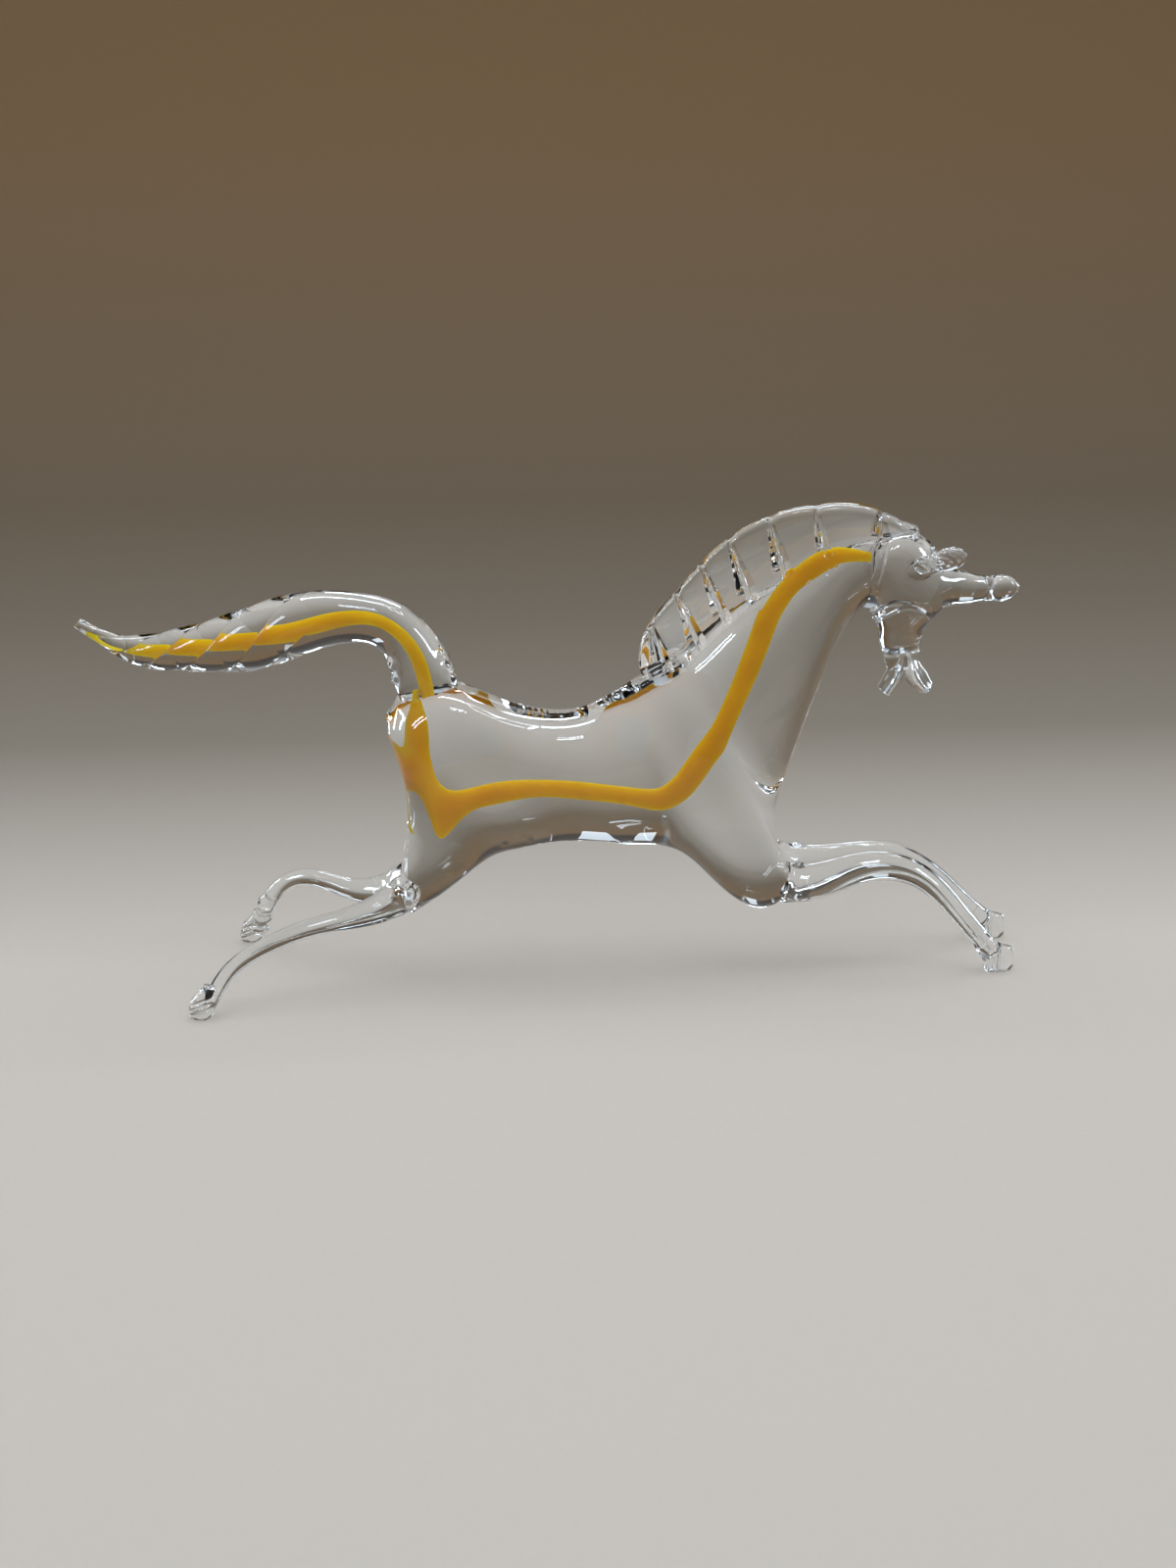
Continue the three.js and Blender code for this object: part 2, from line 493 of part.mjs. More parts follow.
// A leg from inside the body to its pastern, and the hoof below, cut level where it stands
function legAndHoof(line, hoofAt, { side, root, shank, taper, track, length, lean }) {
  const aim = new THREE.Vector3(Math.sign(hoofAt) * Math.cos(lean), 0, -Math.sin(lean));
  const pastern = onSide([hoofAt, 0], (side * track) / 2).addScaledVector(aim, -length / 2).setZ(0);
  const lowest = Math.min(...hoofRings(pastern, aim, length, shank).flat().map((p) => p.z));
  pastern.setZ(-SOLE_CUT - lowest);
  const span = 2 * (length + HOOF_WIDTH);
  const floor = new THREE.BoxGeometry(span, span, length);
  floor.translate(pastern.x, pastern.y, -length / 2);
  const hoof = largest(skin(hoofRings(pastern, aim, length, shank)).subtract(toSolid(floor)));
  const aside = side * (root / 2 + WELD_GAP);
  const points = line.map((p, i) => {
    const out = Math.max(i - 1, 0) / line.length;
    return onSide(p, THREE.MathUtils.lerp(aside, pastern.y, out));
  });
  const end = pastern.clone().addScaledVector(aim, WELD_GAP);
  const thinning = smoothValue(taper);
  const halfSizes = (along) => {
    const radius = THREE.MathUtils.lerp(shank, root, thinning.getPoint(along).y) / 2;
    return [radius, radius];
  };
  const rings = sweptRings([...points, pastern, end], LEG_STEPS, ROD_SIDES, halfSizes);
  const hoofSeam = skin(hoofRings(pastern, aim, length, shank, WELD_GAP));
  return { leg: largest(skin(rings).subtract(bodySeam).subtract(hoofSeam)), hoof };
}
const fore = {
  root: FORELEG_ROOT_DIAMETER,
  shank: FORELEG_SHANK_DIAMETER,
  taper: FORELEG_TAPER,
  track: FORE_TRACK,
  length: FORE_HOOF_LENGTH,
  lean: FORE_HOOF_LEAN,
};
const hind = {
  root: HIND_LEG_ROOT_DIAMETER,
  shank: HIND_LEG_SHANK_DIAMETER,
  taper: HIND_LEG_TAPER,
  track: HIND_TRACK,
  length: HIND_HOOF_LENGTH,
  lean: HIND_HOOF_LEAN,
};
const rightFore = legAndHoof(RIGHT_FORELEG, RIGHT_FORE_HOOF, { ...fore, side: -1 });
const leftFore = legAndHoof(LEFT_FORELEG, LEFT_FORE_HOOF, { ...fore, side: 1 });
const rightHind = legAndHoof(RIGHT_HIND_LEG, RIGHT_HIND_HOOF, { ...hind, side: -1 });
const leftHind = legAndHoof(LEFT_HIND_LEG, LEFT_HIND_HOOF, { ...hind, side: 1 });

// Glass finishes
const clear = { color: 0xdfe3e2, roughness: 0.03, metalness: 0 };
const amber = { color: 0xb88206, roughness: 0.08, metalness: 0 };

const pieces = {
  body: [body, clear],
  body_core: [bodyCore, amber],
  head: [head, clear],
  mane: [mane, clear],
  forelock: [forelock, clear],
  right_ear: [ear(RIGHT_EAR_ROOT, -1), clear],
  left_ear: [ear(LEFT_EAR_ROOT, 1), clear],
  tail: [tail, clear],
  tail_core: [tailCore, amber],
  right_foreleg: [rightFore.leg, clear],
  left_foreleg: [leftFore.leg, clear],
  right_hind_leg: [rightHind.leg, clear],
  left_hind_leg: [leftHind.leg, clear],
  right_fore_hoof: [rightFore.hoof, clear],
  left_fore_hoof: [leftFore.hoof, clear],
  right_hind_hoof: [rightHind.hoof, clear],
  left_hind_hoof: [leftHind.hoof, clear],
};

// The figurine stands with its origin under the middle of its bounding box
const group = new THREE.Group();
for (const [name, [solid, finish]] of Object.entries(pieces)) {
  const { vertProperties, triVerts } = solid.getMesh();
  const geometry = new THREE.BufferGeometry();
  geometry.setAttribute("position", new THREE.BufferAttribute(vertProperties, 3));
  geometry.setIndex(new THREE.BufferAttribute(triVerts, 1));
  geometry.computeVertexNormals();
  const mesh = new THREE.Mesh(geometry, new THREE.MeshStandardMaterial(finish));
  mesh.name = name;
  group.add(mesh);
}
const box = new THREE.Box3().setFromObject(group);
const centre = box.getCenter(new THREE.Vector3());
group.position.set(-centre.x, -centre.y, -box.min.z);

export default group;
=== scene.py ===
"""Looks of a lampworked glass horse: clear drawn glass round amber cores, welded and pinched at a torch."""
from collections import namedtuple

import bpy
import numpy as np
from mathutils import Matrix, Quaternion, Vector


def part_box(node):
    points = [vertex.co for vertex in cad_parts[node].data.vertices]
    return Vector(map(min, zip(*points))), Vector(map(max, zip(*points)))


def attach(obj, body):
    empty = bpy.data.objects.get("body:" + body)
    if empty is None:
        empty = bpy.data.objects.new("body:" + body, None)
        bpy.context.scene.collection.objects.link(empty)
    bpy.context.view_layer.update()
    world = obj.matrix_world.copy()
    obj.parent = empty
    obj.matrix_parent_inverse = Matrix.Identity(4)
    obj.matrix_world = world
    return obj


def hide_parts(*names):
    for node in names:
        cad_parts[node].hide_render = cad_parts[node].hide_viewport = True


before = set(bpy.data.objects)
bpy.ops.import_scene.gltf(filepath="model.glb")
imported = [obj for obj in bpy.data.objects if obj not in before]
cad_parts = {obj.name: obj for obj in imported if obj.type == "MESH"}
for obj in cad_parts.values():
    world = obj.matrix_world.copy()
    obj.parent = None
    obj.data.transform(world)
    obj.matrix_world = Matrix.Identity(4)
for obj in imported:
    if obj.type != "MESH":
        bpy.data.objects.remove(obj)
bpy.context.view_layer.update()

bl_info = {
    "name": "Glass Horse",
    "version": (1, 0, 0),
    "blender": (4, 5, 0),
    "location": "3D View > Sidebar > Glass Horse",
    "description": "Makes a galloping horse of clear lampworked glass with amber cores",
    "category": "Add Mesh",
}

# The side view is drawn in millimetres, and its zero lies this far along X in the frame
MM = 0.001
TAIL_TIP_X = -97.0
SIDE_ORIGIN = np.array([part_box("tail")[0].x - TAIL_TIP_X * MM, 0.0, 0.0])
ACROSS = np.array([0.0, 1.0, 0.0])
UPWARD = np.array([0.0, 0.0, 1.0])


def ribs_by(**widths):
    """Ribs listed under the width that they go by, as rows: top x, top z, bottom x, bottom z, the name of
    that width and the rib's share of it."""
    return tuple((*row[:4], name, row[4]) for name, rows in widths.items() for row in rows)


# Ribs of the body from the stifle over the croup, along the barrel and up the neck to the poll
BODY_RIBS = ribs_by(
    stifle_width=((-32.2, 19.6, -28.2, 14.8, 0.8), (-31.2, 25.0, -21.6, 19.6, 1.3)),
    haunch_width=(
        (-29.8, 36.0, -12.5, 27.2, 0.84), (-31.6, 49.0, -6.0, 29.6, 0.98), (-33.0, 58.6, -1.0, 30.1, 1.0),
        (-24.0, 64.8, 4.0, 30.1, 0.98),
    ),
    barrel_width=(
        (-10.0, 61.0, 11.0, 29.7, 1.0), (6.0, 58.2, 19.5, 29.3, 1.0), (14.0, 61.4, 29.5, 26.8, 1.0),
    ),
    chest_width=(
        (17.4, 63.6, 39.5, 17.4, 1.0), (20.4, 65.6, 48.0, 14.0, 1.0), (23.8, 67.7, 52.8, 18.6, 1.0),
        (28.5, 71.0, 50.6, 27.0, 0.92),
    ),
    neck_width=(
        (39.5, 81.0, 49.6, 38.0, 1.24), (50.3, 88.5, 52.6, 48.0, 1.08), (60.5, 93.0, 59.6, 67.4, 0.9),
    ),
    poll_width=((68.0, 95.0, 64.4, 77.0, 1.0), (74.5, 94.8, 68.4, 81.0, 0.86)),
)
BODY_BULGES = (2.0, 0.4)
WITHERS_RIB = 10
# How square the lower and upper half of each rib are: the power of a rounded oblong, where 2 is an oval
SQUARE_BELOW = (2.2, 2.4, 2.8, 3.4, 3.4, 3.1, 2.9, 2.8, 2.9, 3.2, 3.2, 3.2, 3.0, 2.8, 2.6, 2.3, 2.0, 2.0)
SQUARE_ABOVE = (2.4, 2.8, 3.0, 3.0, 2.9, 2.8, 2.7, 2.6, 2.6, 2.6, 2.6, 2.5, 2.4, 2.2, 2.0, 2.0, 2.0, 2.0)

# Beads of the welds: place x, y, z, height and breadth
BODY_BEADS = (
    (-32.6, -2.6, 58.4, 0.9, 1.5), (-32.8, 1.6, 57.4, 0.7, 1.4), (-32.2, -1.6, 54.4, 0.7, 1.3),
    (-31.4, 2.4, 51.6, 0.5, 1.3), (-30.4, -4.6, 61.0, 0.8, 1.4), (-30.4, 4.6, 61.0, 0.8, 1.4),
    (-17.6, -3.6, 63.2, 0.6, 1.3), (-17.6, 3.6, 63.2, 0.6, 1.3),
)
# The belly is pressed flat underneath: middle, height and half length of the press mark, how far it sinks
# to its ends, and the ripples that the tool left near its hind end
PRESS_X, PRESS_Z = 5.0, 31.9
PRESS_HALF_LENGTH = 13.0
PRESS_SINK = 2.4
RIPPLE_HEIGHT = 0.14
RIPPLE_LENGTH = 2.4
RIPPLES_END = 1.0
RIPPLES_FADE = 3.0

# Ribs of the amber core from its thread under the tail down the hip, along the belly and up to the poll
CORE_RIBS = ribs_by(
    core_thickness=(
        (-26.1, 64.2, -27.2, 64.0, 0.24), (-26.0, 61.6, -27.3, 61.2, 0.36),
        (-25.2, 58.9, -27.6, 57.7, 0.75), (-24.4, 55.8, -28.2, 54.8, 1.0),
        (-24.3, 51.3, -27.4, 49.8, 1.0), (-23.5, 46.8, -24.8, 42.9, 1.0), (-22.6, 44.6, -23.4, 36.2, 1.0),
        (-21.3, 43.2, -22.4, 32.5, 1.0), (-18.8, 42.6, -18.6, 36.0, 1.0), (-13.0, 43.7, -12.6, 39.0, 1.0),
        (-3.4, 44.4, -3.6, 40.6, 0.9), (8.6, 43.4, 8.7, 39.7, 0.85), (18.4, 42.1, 18.0, 38.3, 0.85),
        (25.3, 42.6, 27.0, 37.7, 0.9), (28.6, 45.9, 31.6, 41.2, 0.95), (36.3, 57.1, 40.0, 55.5, 0.95),
        (43.5, 73.7, 47.2, 71.8, 0.95), (46.3, 80.2, 49.7, 77.7, 0.9), (52.4, 88.0, 54.9, 84.2, 0.85),
        (60.0, 92.3, 61.1, 88.1, 0.75), (68.0, 91.0, 68.1, 89.0, 0.45),
    ),
)
STRAND_RIBS = ribs_by(
    strand_thickness=(
        (-25.0, 54.6, -27.4, 54.0, 1.1), (-25.4, 50.6, -27.8, 50.2, 1.15),
        (-25.6, 46.0, -27.7, 46.0, 1.05), (-25.6, 42.0, -27.2, 42.0, 0.9),
        (-25.4, 38.0, -26.5, 38.0, 0.7), (-25.2, 33.0, -25.7, 33.0, 0.4),
    ),
)
CORE_BULGES = (0.3, 0.5)

# Ribs of the head from inside the neck down to the snipped mouth, brow side first, and its two lips
HEAD_RIBS = ribs_by(
    poll_width=((70.4, 94.7, 65.8, 80.4, 0.97),),
    cheek_width=(
        (78.4, 95.4, 69.0, 78.6, 0.97), (83.2, 91.0, 69.6, 77.0, 1.0), (85.6, 85.4, 70.0, 75.4, 0.96),
        (84.6, 80.0, 70.6, 73.6, 0.86), (81.4, 75.6, 71.2, 71.2, 0.74),
    ),
    muzzle_width=((80.4, 70.6, 71.9, 68.6, 1.16), (80.7, 67.0, 72.7, 66.2, 1.0)),
)
HEAD_BULGES = (0.4, 0.6)
UPPER_LIP = ((77.4, 70.0), (78.3, 66.8), (79.6, 64.3), (81.7, 62.0))
LOWER_LIP = ((75.6, 70.0), (75.3, 66.6), (74.2, 63.8), (72.6, 61.3))
UPPER_LIP_TAPER = (1.5, 1.6, 1.9, 1.4)
LOWER_LIP_TAPER = (1.5, 1.55, 1.4, 1.25)
LIP_BULGES = (0.4, 0.4)
LIP_RIDGES = 4
LIP_RIDGE_SHARE = 0.09
# The face, narrower than the poll, is welded on along an arch of this middle, rise and half span
FACE_ARCH_X, FACE_ARCH_Z = 76.2, 76.8
FACE_ARCH_RISE, FACE_ARCH_SPAN = 3.6, 6.2
FACE_LEDGE = 0.4
FACE_CREASE = 0.55
CREASE_BREADTH = 0.45
# The muzzle was gripped along a slanting line through this point
GRIP_X, GRIP_Z, GRIP_SLOPE = 74.2, 69.8, 0.22
GRIP_CREASE = 0.4
# Weld line at the poll: a groove down from the crest that leans forward and ends half way down the cheek
POLL_X, POLL_Z, POLL_LEAN = 69.9, 89.7, 0.27
POLL_CREASE = 0.5
POLL_LINE_END = 84.5
POLL_LINE_FADE = 2.0

# Mane: share of the crest from withers to brow, share of the height and share of the rim's thickness
MANE_RISE = (
    (0.0, 0.3, 0.9), (0.04, 0.6, 0.9), (0.16, 0.86, 0.9), (0.42, 1.0, 1.0), (0.62, 0.88, 1.35),
    (0.82, 0.56, 1.6), (1.0, 0.12, 1.2),
)
# It leans upward from square to the crest by a share, and lies so deep in the neck
MANE_LEAN = 0.45
MANE_SINK = 12.0
# Its grip reaches a depth, or a share of the neck's half depth if that is less, and it bites into the neck
MANE_GRIP = 8.0
MANE_GRIP_SHARE = 0.6
MANE_BITE = 0.2
# Limits of the power by which a flank thins, the least step from rim to grip that it is worked out with,
# and points on the outline's quarter ovals and flanks
MANE_POWERS = (1.15, 2.6)
MANE_LEAST_STEP = 0.5
MANE_QUARTER_POINTS, MANE_FLANK_POINTS = 13, 62
# Over this length at the withers it closes by a share, and starts at a share of its height
MANE_END = 1.6
MANE_END_CLOSING = 0.98
MANE_END_LOW = 0.4
# Pleats: share of the crest, and depth and breadth as shares
PLEATS = (
    (0.085, 0.7, 0.9), (0.215, 1.0, 1.0), (0.325, 1.0, 0.9), (0.43, 1.1, 1.2), (0.56, 1.2, 1.1),
    (0.7, 0.8, 0.7), (0.885, 1.3, 1.2),
)
# A pleat's heel, how it rises there, its tip as a share of the height, and the least height of the tip
PLEAT_HEEL = -0.6
PLEAT_HEEL_BELOW, PLEAT_HEEL_ABOVE = 0.9, 0.3
PLEAT_TIP = 0.92
PLEAT_LEAST_TIP = 1.0
# It narrows to a share at the tip, its depth fades by a power and takes at most a share of the flank. The
# pleats of the far side lie a little further along, and each notches the rim.
PLEAT_TOE = 0.12
PLEAT_FADE = 0.5
PLEAT_MOST = 0.7
PLEAT_SKEW = 0.8
SCALLOP_DEPTH, SCALLOP_BREADTH = 0.35, 1.0

FORELOCK_RIBS = ribs_by(
    forelock_width=(
        (77.0, 91.6, 77.0, 77.4, 2.6), (83.0, 89.4, 82.8, 78.6, 2.1), (87.6, 87.4, 87.4, 79.7, 1.35),
        (91.4, 86.2, 91.2, 80.1, 1.0), (94.2, 85.8, 94.2, 80.5, 0.66), (97.2, 86.0, 97.1, 80.2, 0.85),
        (99.6, 85.2, 99.5, 81.4, 0.7), (100.4, 84.4, 100.3, 82.2, 0.45),
    ),
)
FORELOCK_BULGES = (0.4, 0.6)
# Two slanting marks of the pliers cross where the forelock is pinched
PINCH_X, PINCH_Z, PINCH_SLOPE = 94.4, 83.1, 0.35
PINCH_DEPTH = 0.4
PINCH_BREADTH = 0.45

# Each ear's side and root, its aim on the left side, its width along it as shares, and its pressed rings
EARS = {"right_ear": (-1, 76.9, 88.9), "left_ear": (1, 76.9, 85.5)}
EAR_AIM = np.array([1.0, 0.12, 0.27])
EAR_TAPER = (0.6, 0.92, 0.84, 0.76, 0.94, 1.06, 1.06, 0.92, 0.5)
EAR_BULGES = (0.4, 0.5)
EAR_RINGS = 3.0
EAR_RING_DEPTH = 0.16

# Ribs of the tail from inside the croup to its tip
TAIL_RIBS = ribs_by(
    tail_root_width=(
        (-20.0, 58.5, -30.0, 58.0, 0.9), (-18.8, 65.6, -31.6, 64.5, 1.0),
        (-21.5, 73.0, -32.8, 69.6, 0.96),
    ),
    tail_width=(
        (-28.0, 80.8, -35.4, 73.2, 0.97), (-38.0, 84.5, -40.4, 74.2, 0.98),
        (-51.0, 84.9, -48.5, 72.4, 1.0), (-64.0, 81.3, -60.6, 68.6, 0.97),
        (-76.3, 77.8, -74.0, 68.7, 0.8), (-88.0, 76.8, -86.6, 71.0, 0.5),
        (-92.6, 78.6, -93.2, 75.6, 0.27), (-95.6, 80.3, -97.0, 78.5, 0.18),
    ),
)
TAIL_BULGES = (0.5, 0.2)
TAIL_BEADS = (
    (-31.9, -3.0, 69.8, 1.0, 1.5), (-31.6, -2.4, 66.6, 0.8, 1.3), (-31.9, 3.0, 69.4, 0.8, 1.4),
    (-30.8, 3.2, 65.8, 0.8, 1.3), (-22.0, -2.6, 72.4, 0.6, 1.2), (-20.4, -3.0, 69.6, 0.8, 1.2),
    (-19.4, -2.6, 66.8, 0.8, 1.2), (-20.6, 2.8, 70.4, 0.7, 1.3), (-19.2, 2.6, 67.4, 0.7, 1.2),
)
# Flutes: where along the tail they begin and are full, the first turn, how they twist faster towards the
# tip, their depth on the far side as a share, and the power of the sine between two grooves
FLUTES_BEGIN = 0.4
FLUTES_FULL = 0.52
FLUTE_START = 0.2
FLUTE_QUICKENING = 1.2
FLUTE_FAR_SHARE = 0.15
FLUTE_ROUNDNESS = 0.55
# Ribs of the amber core inside the tail
TAIL_CORE_RIBS = ribs_by(
    tail_core_thickness=(
        (-23.8, 62.4, -25.7, 62.0, 0.66), (-24.9, 68.0, -26.9, 67.4, 0.72),
        (-27.7, 74.0, -29.2, 72.9, 0.7), (-33.8, 79.1, -34.6, 77.6, 0.7), (-42.1, 80.4, -41.9, 78.2, 0.8),
        (-54.2, 78.2, -53.7, 75.4, 1.0), (-65.8, 75.9, -65.6, 73.4, 0.9), (-79.8, 74.2, -79.7, 72.4, 0.6),
        (-88.6, 74.4, -88.7, 73.6, 0.3), (-94.0, 77.3, -94.2, 76.8, 0.18),
    ),
)

# Legs: pair, side, hoof, side view from inside the body, place of the hoof along X, and crimps near it
Leg = namedtuple("Leg", "pair side hoof line hoof_x crimps")
LEGS = {
    "right_foreleg": Leg("fore", -1, "right_fore_hoof", (
        (42, 29), (50, 20.6), (57.4, 20.2), (64.2, 22.3), (72.5, 23.9), (79.4, 22.2), (88.8, 13.6),
    ), 97.6, 0.0),
    "left_foreleg": Leg("fore", 1, "left_fore_hoof", (
        (42, 30), (50, 22.6), (58.5, 21), (66.5, 21.3), (75.5, 21.6), (83, 19), (92.4, 11.4),
    ), 101.0, 0.0),
    "right_hind_leg": Leg("hind", -1, "right_hind_hoof", (
        (-25, 27), (-29.5, 21), (-35, 18), (-43, 16.3), (-53.1, 14.7), (-61, 12.2), (-66.8, 9.2),
    ), -72.8, 0.0),
    "left_hind_leg": Leg("hind", 1, "left_hind_hoof", (
        (-25, 27), (-29.5, 21), (-35.5, 17.2), (-42.5, 16.6), (-50, 18.4), (-55.5, 17.4), (-61, 11.6),
    ), -65.0, 0.42),
}
LEG_TAPERS = {
    "fore": (0.6, 1.0, 0.95, 0.78, 0.55, 0.3, 0.05, 0.0),
    "hind": (0.6, 1.0, 0.9, 0.44, 0.2, 0.1, 0.06, 0.0),
}
# Gap between two legs' roots, how deep a leg ends in its hoof and how far aside, its ridges and its crimps
LEG_GAP = 0.3
LEG_BULGES = (0.5, 0.3)
LEG_END = 4.0
LEG_END_ASIDE = {"fore": 0.0, "hind": 1.2}
LEG_RIDGES = 4
LEG_RIDGE_SHARE = 0.05
CRIMP_LENGTH = 4.6
CRIMPED_STRETCH = 14.0
# How far along a leg its weld lies, and the beads round the weld
WELD_RUNS = {"fore": 15.5, "hind": 11.0}
WELD_BEADS = 6
WELD_BEAD_HEIGHT = 0.4
WELD_BEAD_BREADTH = 1.3
WELD_BEAD_STAGGER = 1.2
# Hooves: lean in radians, share of the width, where the shoulder and the ball lie along one, how far it is
# pinched, how far its last ring goes, the share of the shank at its neck, and the cut that it stands on
HOOF_LEANS = {"fore": 0.8, "hind": 1.15}
HOOF_SHARES = {"fore": 1.0, "hind": 0.86}
HOOF_SHOULDER = 0.02
HOOF_BALL = 0.58
HOOF_PINCH = 0.9
HOOF_LAST_RING = 0.999
HOOF_NECK = 0.7
SOLE_CUT = 0.7
# Marks that the pliers left across the hooves: how far down, how deep, how broad and how slanting
PLIER_MARKS = (2.9, 4.4, 5.9)
PLIER_DEPTH = 0.5
PLIER_BREADTH = 0.4
PLIER_SLANT = 1.0
# Knobs at both edges of a fore hoof: which ring they lie on, how high and how broad they are
KNOB_RING = 36
KNOB_HEIGHT = 0.8
KNOB_BREADTH = 1.3

# Which clear pieces are melted into which
WELDS = (
    ("head", "body"), ("mane", "body"), ("mane", "head"), ("tail", "body"), ("forelock", "head"),
    ("right_ear", "head"), ("left_ear", "head"),
    *((node, "body") for node in LEGS),
    *((leg.hoof, node) for node, leg in LEGS.items()),
)
# Place of the seam's material among those of a clear piece
SEAM_SLOT = 1

# Windows that the glass reflects: name, azimuth from the front, elevation, length and width of a pane,
# spacing of the panes, how many there are, how far they are turned, and their share of the glow. They stand
# this far from the horse, measured from this height.
WINDOWS = (
    ("skylight", 105.0, 62.0, 0.18, 0.018, 0.14, 2, 0.0, 1.0),
    ("skylight_ends", 105.0, 62.0, 0.14, 0.018, 0.18, 2, 90.0, 1.0),
    ("ridge_light", 180.0, 78.0, 0.45, 0.08, 0.0, 1, 0.0, 1.0),
    ("front_left", -41.0, 33.0, 0.2, 0.035, 0.08, 2, 65.0, 1.0),
    ("right", 68.0, 27.0, 0.27, 0.09, 0.0, 1, 90.0, 1.0),
    ("left", -82.0, 24.0, 0.27, 0.09, 0.0, 1, 90.0, 1.0),
    ("back", 168.0, 42.0, 0.36, 0.07, 0.0, 1, 0.0, 1.0),
    ("front_high", 12.0, 62.0, 0.18, 0.027, 0.06, 2, 0.0, 1.0),
    ("low_left", -112.0, 8.0, 0.22, 0.09, 0.0, 1, 90.0, 1.0),
    ("low_right", 112.0, 8.0, 0.22, 0.09, 0.0, 1, 90.0, 1.0),
    ("behind", 167.5, 17.0, 0.1, 0.24, 0.0, 1, 0.0, 0.034),
)
WINDOW_DISTANCE = 0.7
WINDOW_LIFT = 0.06
# Soft lamp overhead: length and width, and place
SOFT_SIZE = (1.2, 0.9)
SOFT_PLACE = (0.0, 0.1, 1.0)

# The floor's front edge, where it bends up and how widely, the backdrop's top, and half the width of both
SWEEP_FRONT = -0.4
SWEEP_BEND = 0.35
SWEEP_RADIUS = 0.35
SWEEP_TOP = 1.1
SWEEP_HALF_WIDTH = 1.6
# Colours of the paper by depth plus height, as shares of a reach in metres. Past the pale floor they
# darken:
# painted shade of a backdrop lit less the higher it goes, over the backdrop's own warm brown.
PAPER_REACH = 2.0
PAPER_SHADE_STOPS = (
    (0.005, "floor_colour"), (0.095, "sweep_colour"), (0.25, "shade_colour"), (0.43, "backdrop_colour"),
    (0.465, "backdrop_colour"), (0.495, "top_shade_colour"),
)
# How far along X a view points where the room begins to brighten
ROOM_EDGE = 0.3
# Shares of the noise between which the tints and streaks of the glass blend
STREAK_LOW, STREAK_HIGH = 0.35, 0.65

# The camera looks at this place of the side view, in metres, from these angles
CAMERA_TARGET = (0.009, 0.0, 0.042)
CAMERA_AZIMUTH = -5.0
CAMERA_ELEVATION = 17.0

# Share of a quarter turn that a dome covers before its end is closed by a fan
DOME_SHARE = 0.97

Form = namedtuple("Form", "grid centre tall wide")
forms = {}
pieces = {}


def length(name, description, default):
    """A size in metres that a user may change."""
    return bpy.props.FloatProperty(
        name=name, description=description, default=default, min=0.0, precision=4, unit="LENGTH"
    )


def share(name, description, default):
    """A plain number from 0 upwards that a user may change."""
    return bpy.props.FloatProperty(name=name, description=description, default=default, min=0.0)


def colour(name, description, default):
    """A linear colour that a user may change."""
    return bpy.props.FloatVectorProperty(
        name=name, description=description, default=default, size=3, min=0.0, max=1.0, subtype="COLOR"
    )


class HorseSizes(bpy.types.PropertyGroup):
    """Sizes of the drawn glass."""

    stifle_width: length("Stifle width", "Width of the body where the hind legs leave it", 0.011)
    haunch_width: length("Haunch width", "Width of the body across the haunches", 0.024)
    barrel_width: length("Barrel width", "Width of the body across the belly", 0.023)
    chest_width: length("Chest width", "Width of the body across the chest", 0.024)
    neck_width: length("Neck width", "Width of the neck", 0.016)
    poll_width: length("Poll width", "Width of the neck where the head is welded on", 0.0124)
    core_thickness: length("Core thickness", "Thickness of the amber core across the body", 0.0036)
    strand_thickness: length("Strand thickness", "Thickness of the strand that splits off the core", 0.0016)
    cheek_width: length("Cheek width", "Width of the head across the cheeks", 0.0128)
    muzzle_width: length("Muzzle width", "Width of the muzzle above the lips", 0.0068)
    lip_width: length("Lip width", "Width of each snipped lip", 0.0054)
    lip_thickness: length("Lip thickness", "Thickness of each snipped lip", 0.0024)
    mane_height: length("Mane height", "Height of the mane above the crest", 0.0123)
    mane_rim_thickness: length("Mane rim", "Thickness of the mane at its rim", 0.0028)
    pleat_depth: length("Pleat depth", "How far each side of the mane is pinched in", 0.0018)
    pleat_breadth: length("Pleat breadth", "Breadth of a pleat at its heel", 0.0026)
    forelock_width: length("Forelock width", "Width of the forelock", 0.0046)
    ear_length: length("Ear length", "Length of an ear", 0.0106)
    ear_width: length("Ear width", "Width of an ear", 0.0046)
    ear_thickness: length("Ear thickness", "Thickness of an ear", 0.002)
    tail_root_width: length("Tail root width", "Width of the tail where it is welded on", 0.012)
    tail_width: length("Tail width", "Width of the fluted tail", 0.0108)
    tail_core_thickness: length("Tail core thickness", "Thickness of the amber core in the tail", 0.003)
    flute_count: bpy.props.IntProperty(name="Flutes", description="Flutes round the tail", default=4, min=1)
    flute_turns: share("Flute turns", "Turns that the flutes make along the tail", 1.5)
    flute_depth: length("Flute depth", "Depth of the flutes", 0.0008)
    foreleg_root: length("Foreleg root", "Diameter of a foreleg at the body", 0.0082)
    foreleg_shank: length("Foreleg shank", "Diameter of a foreleg above its hoof", 0.0041)
    hind_leg_root: length("Hind leg root", "Diameter of a hind leg at the body", 0.0068)
    hind_leg_shank: length("Hind leg shank", "Diameter of a hind leg above its hoof", 0.003)
    fore_track: length("Fore track", "Distance between the fore hooves", 0.02)
    hind_track: length("Hind track", "Distance between the hind hooves", 0.044)
    fore_hoof_length: length("Fore hoof length", "Length of a fore hoof", 0.0094)
    hind_hoof_length: length("Hind hoof length", "Length of a hind hoof", 0.0084)
    hoof_width: length("Hoof width", "Width of a pinched hoof in the side view", 0.0062)
    hoof_thickness: length("Hoof thickness", "Thickness of a hoof before it is pinched", 0.0046)


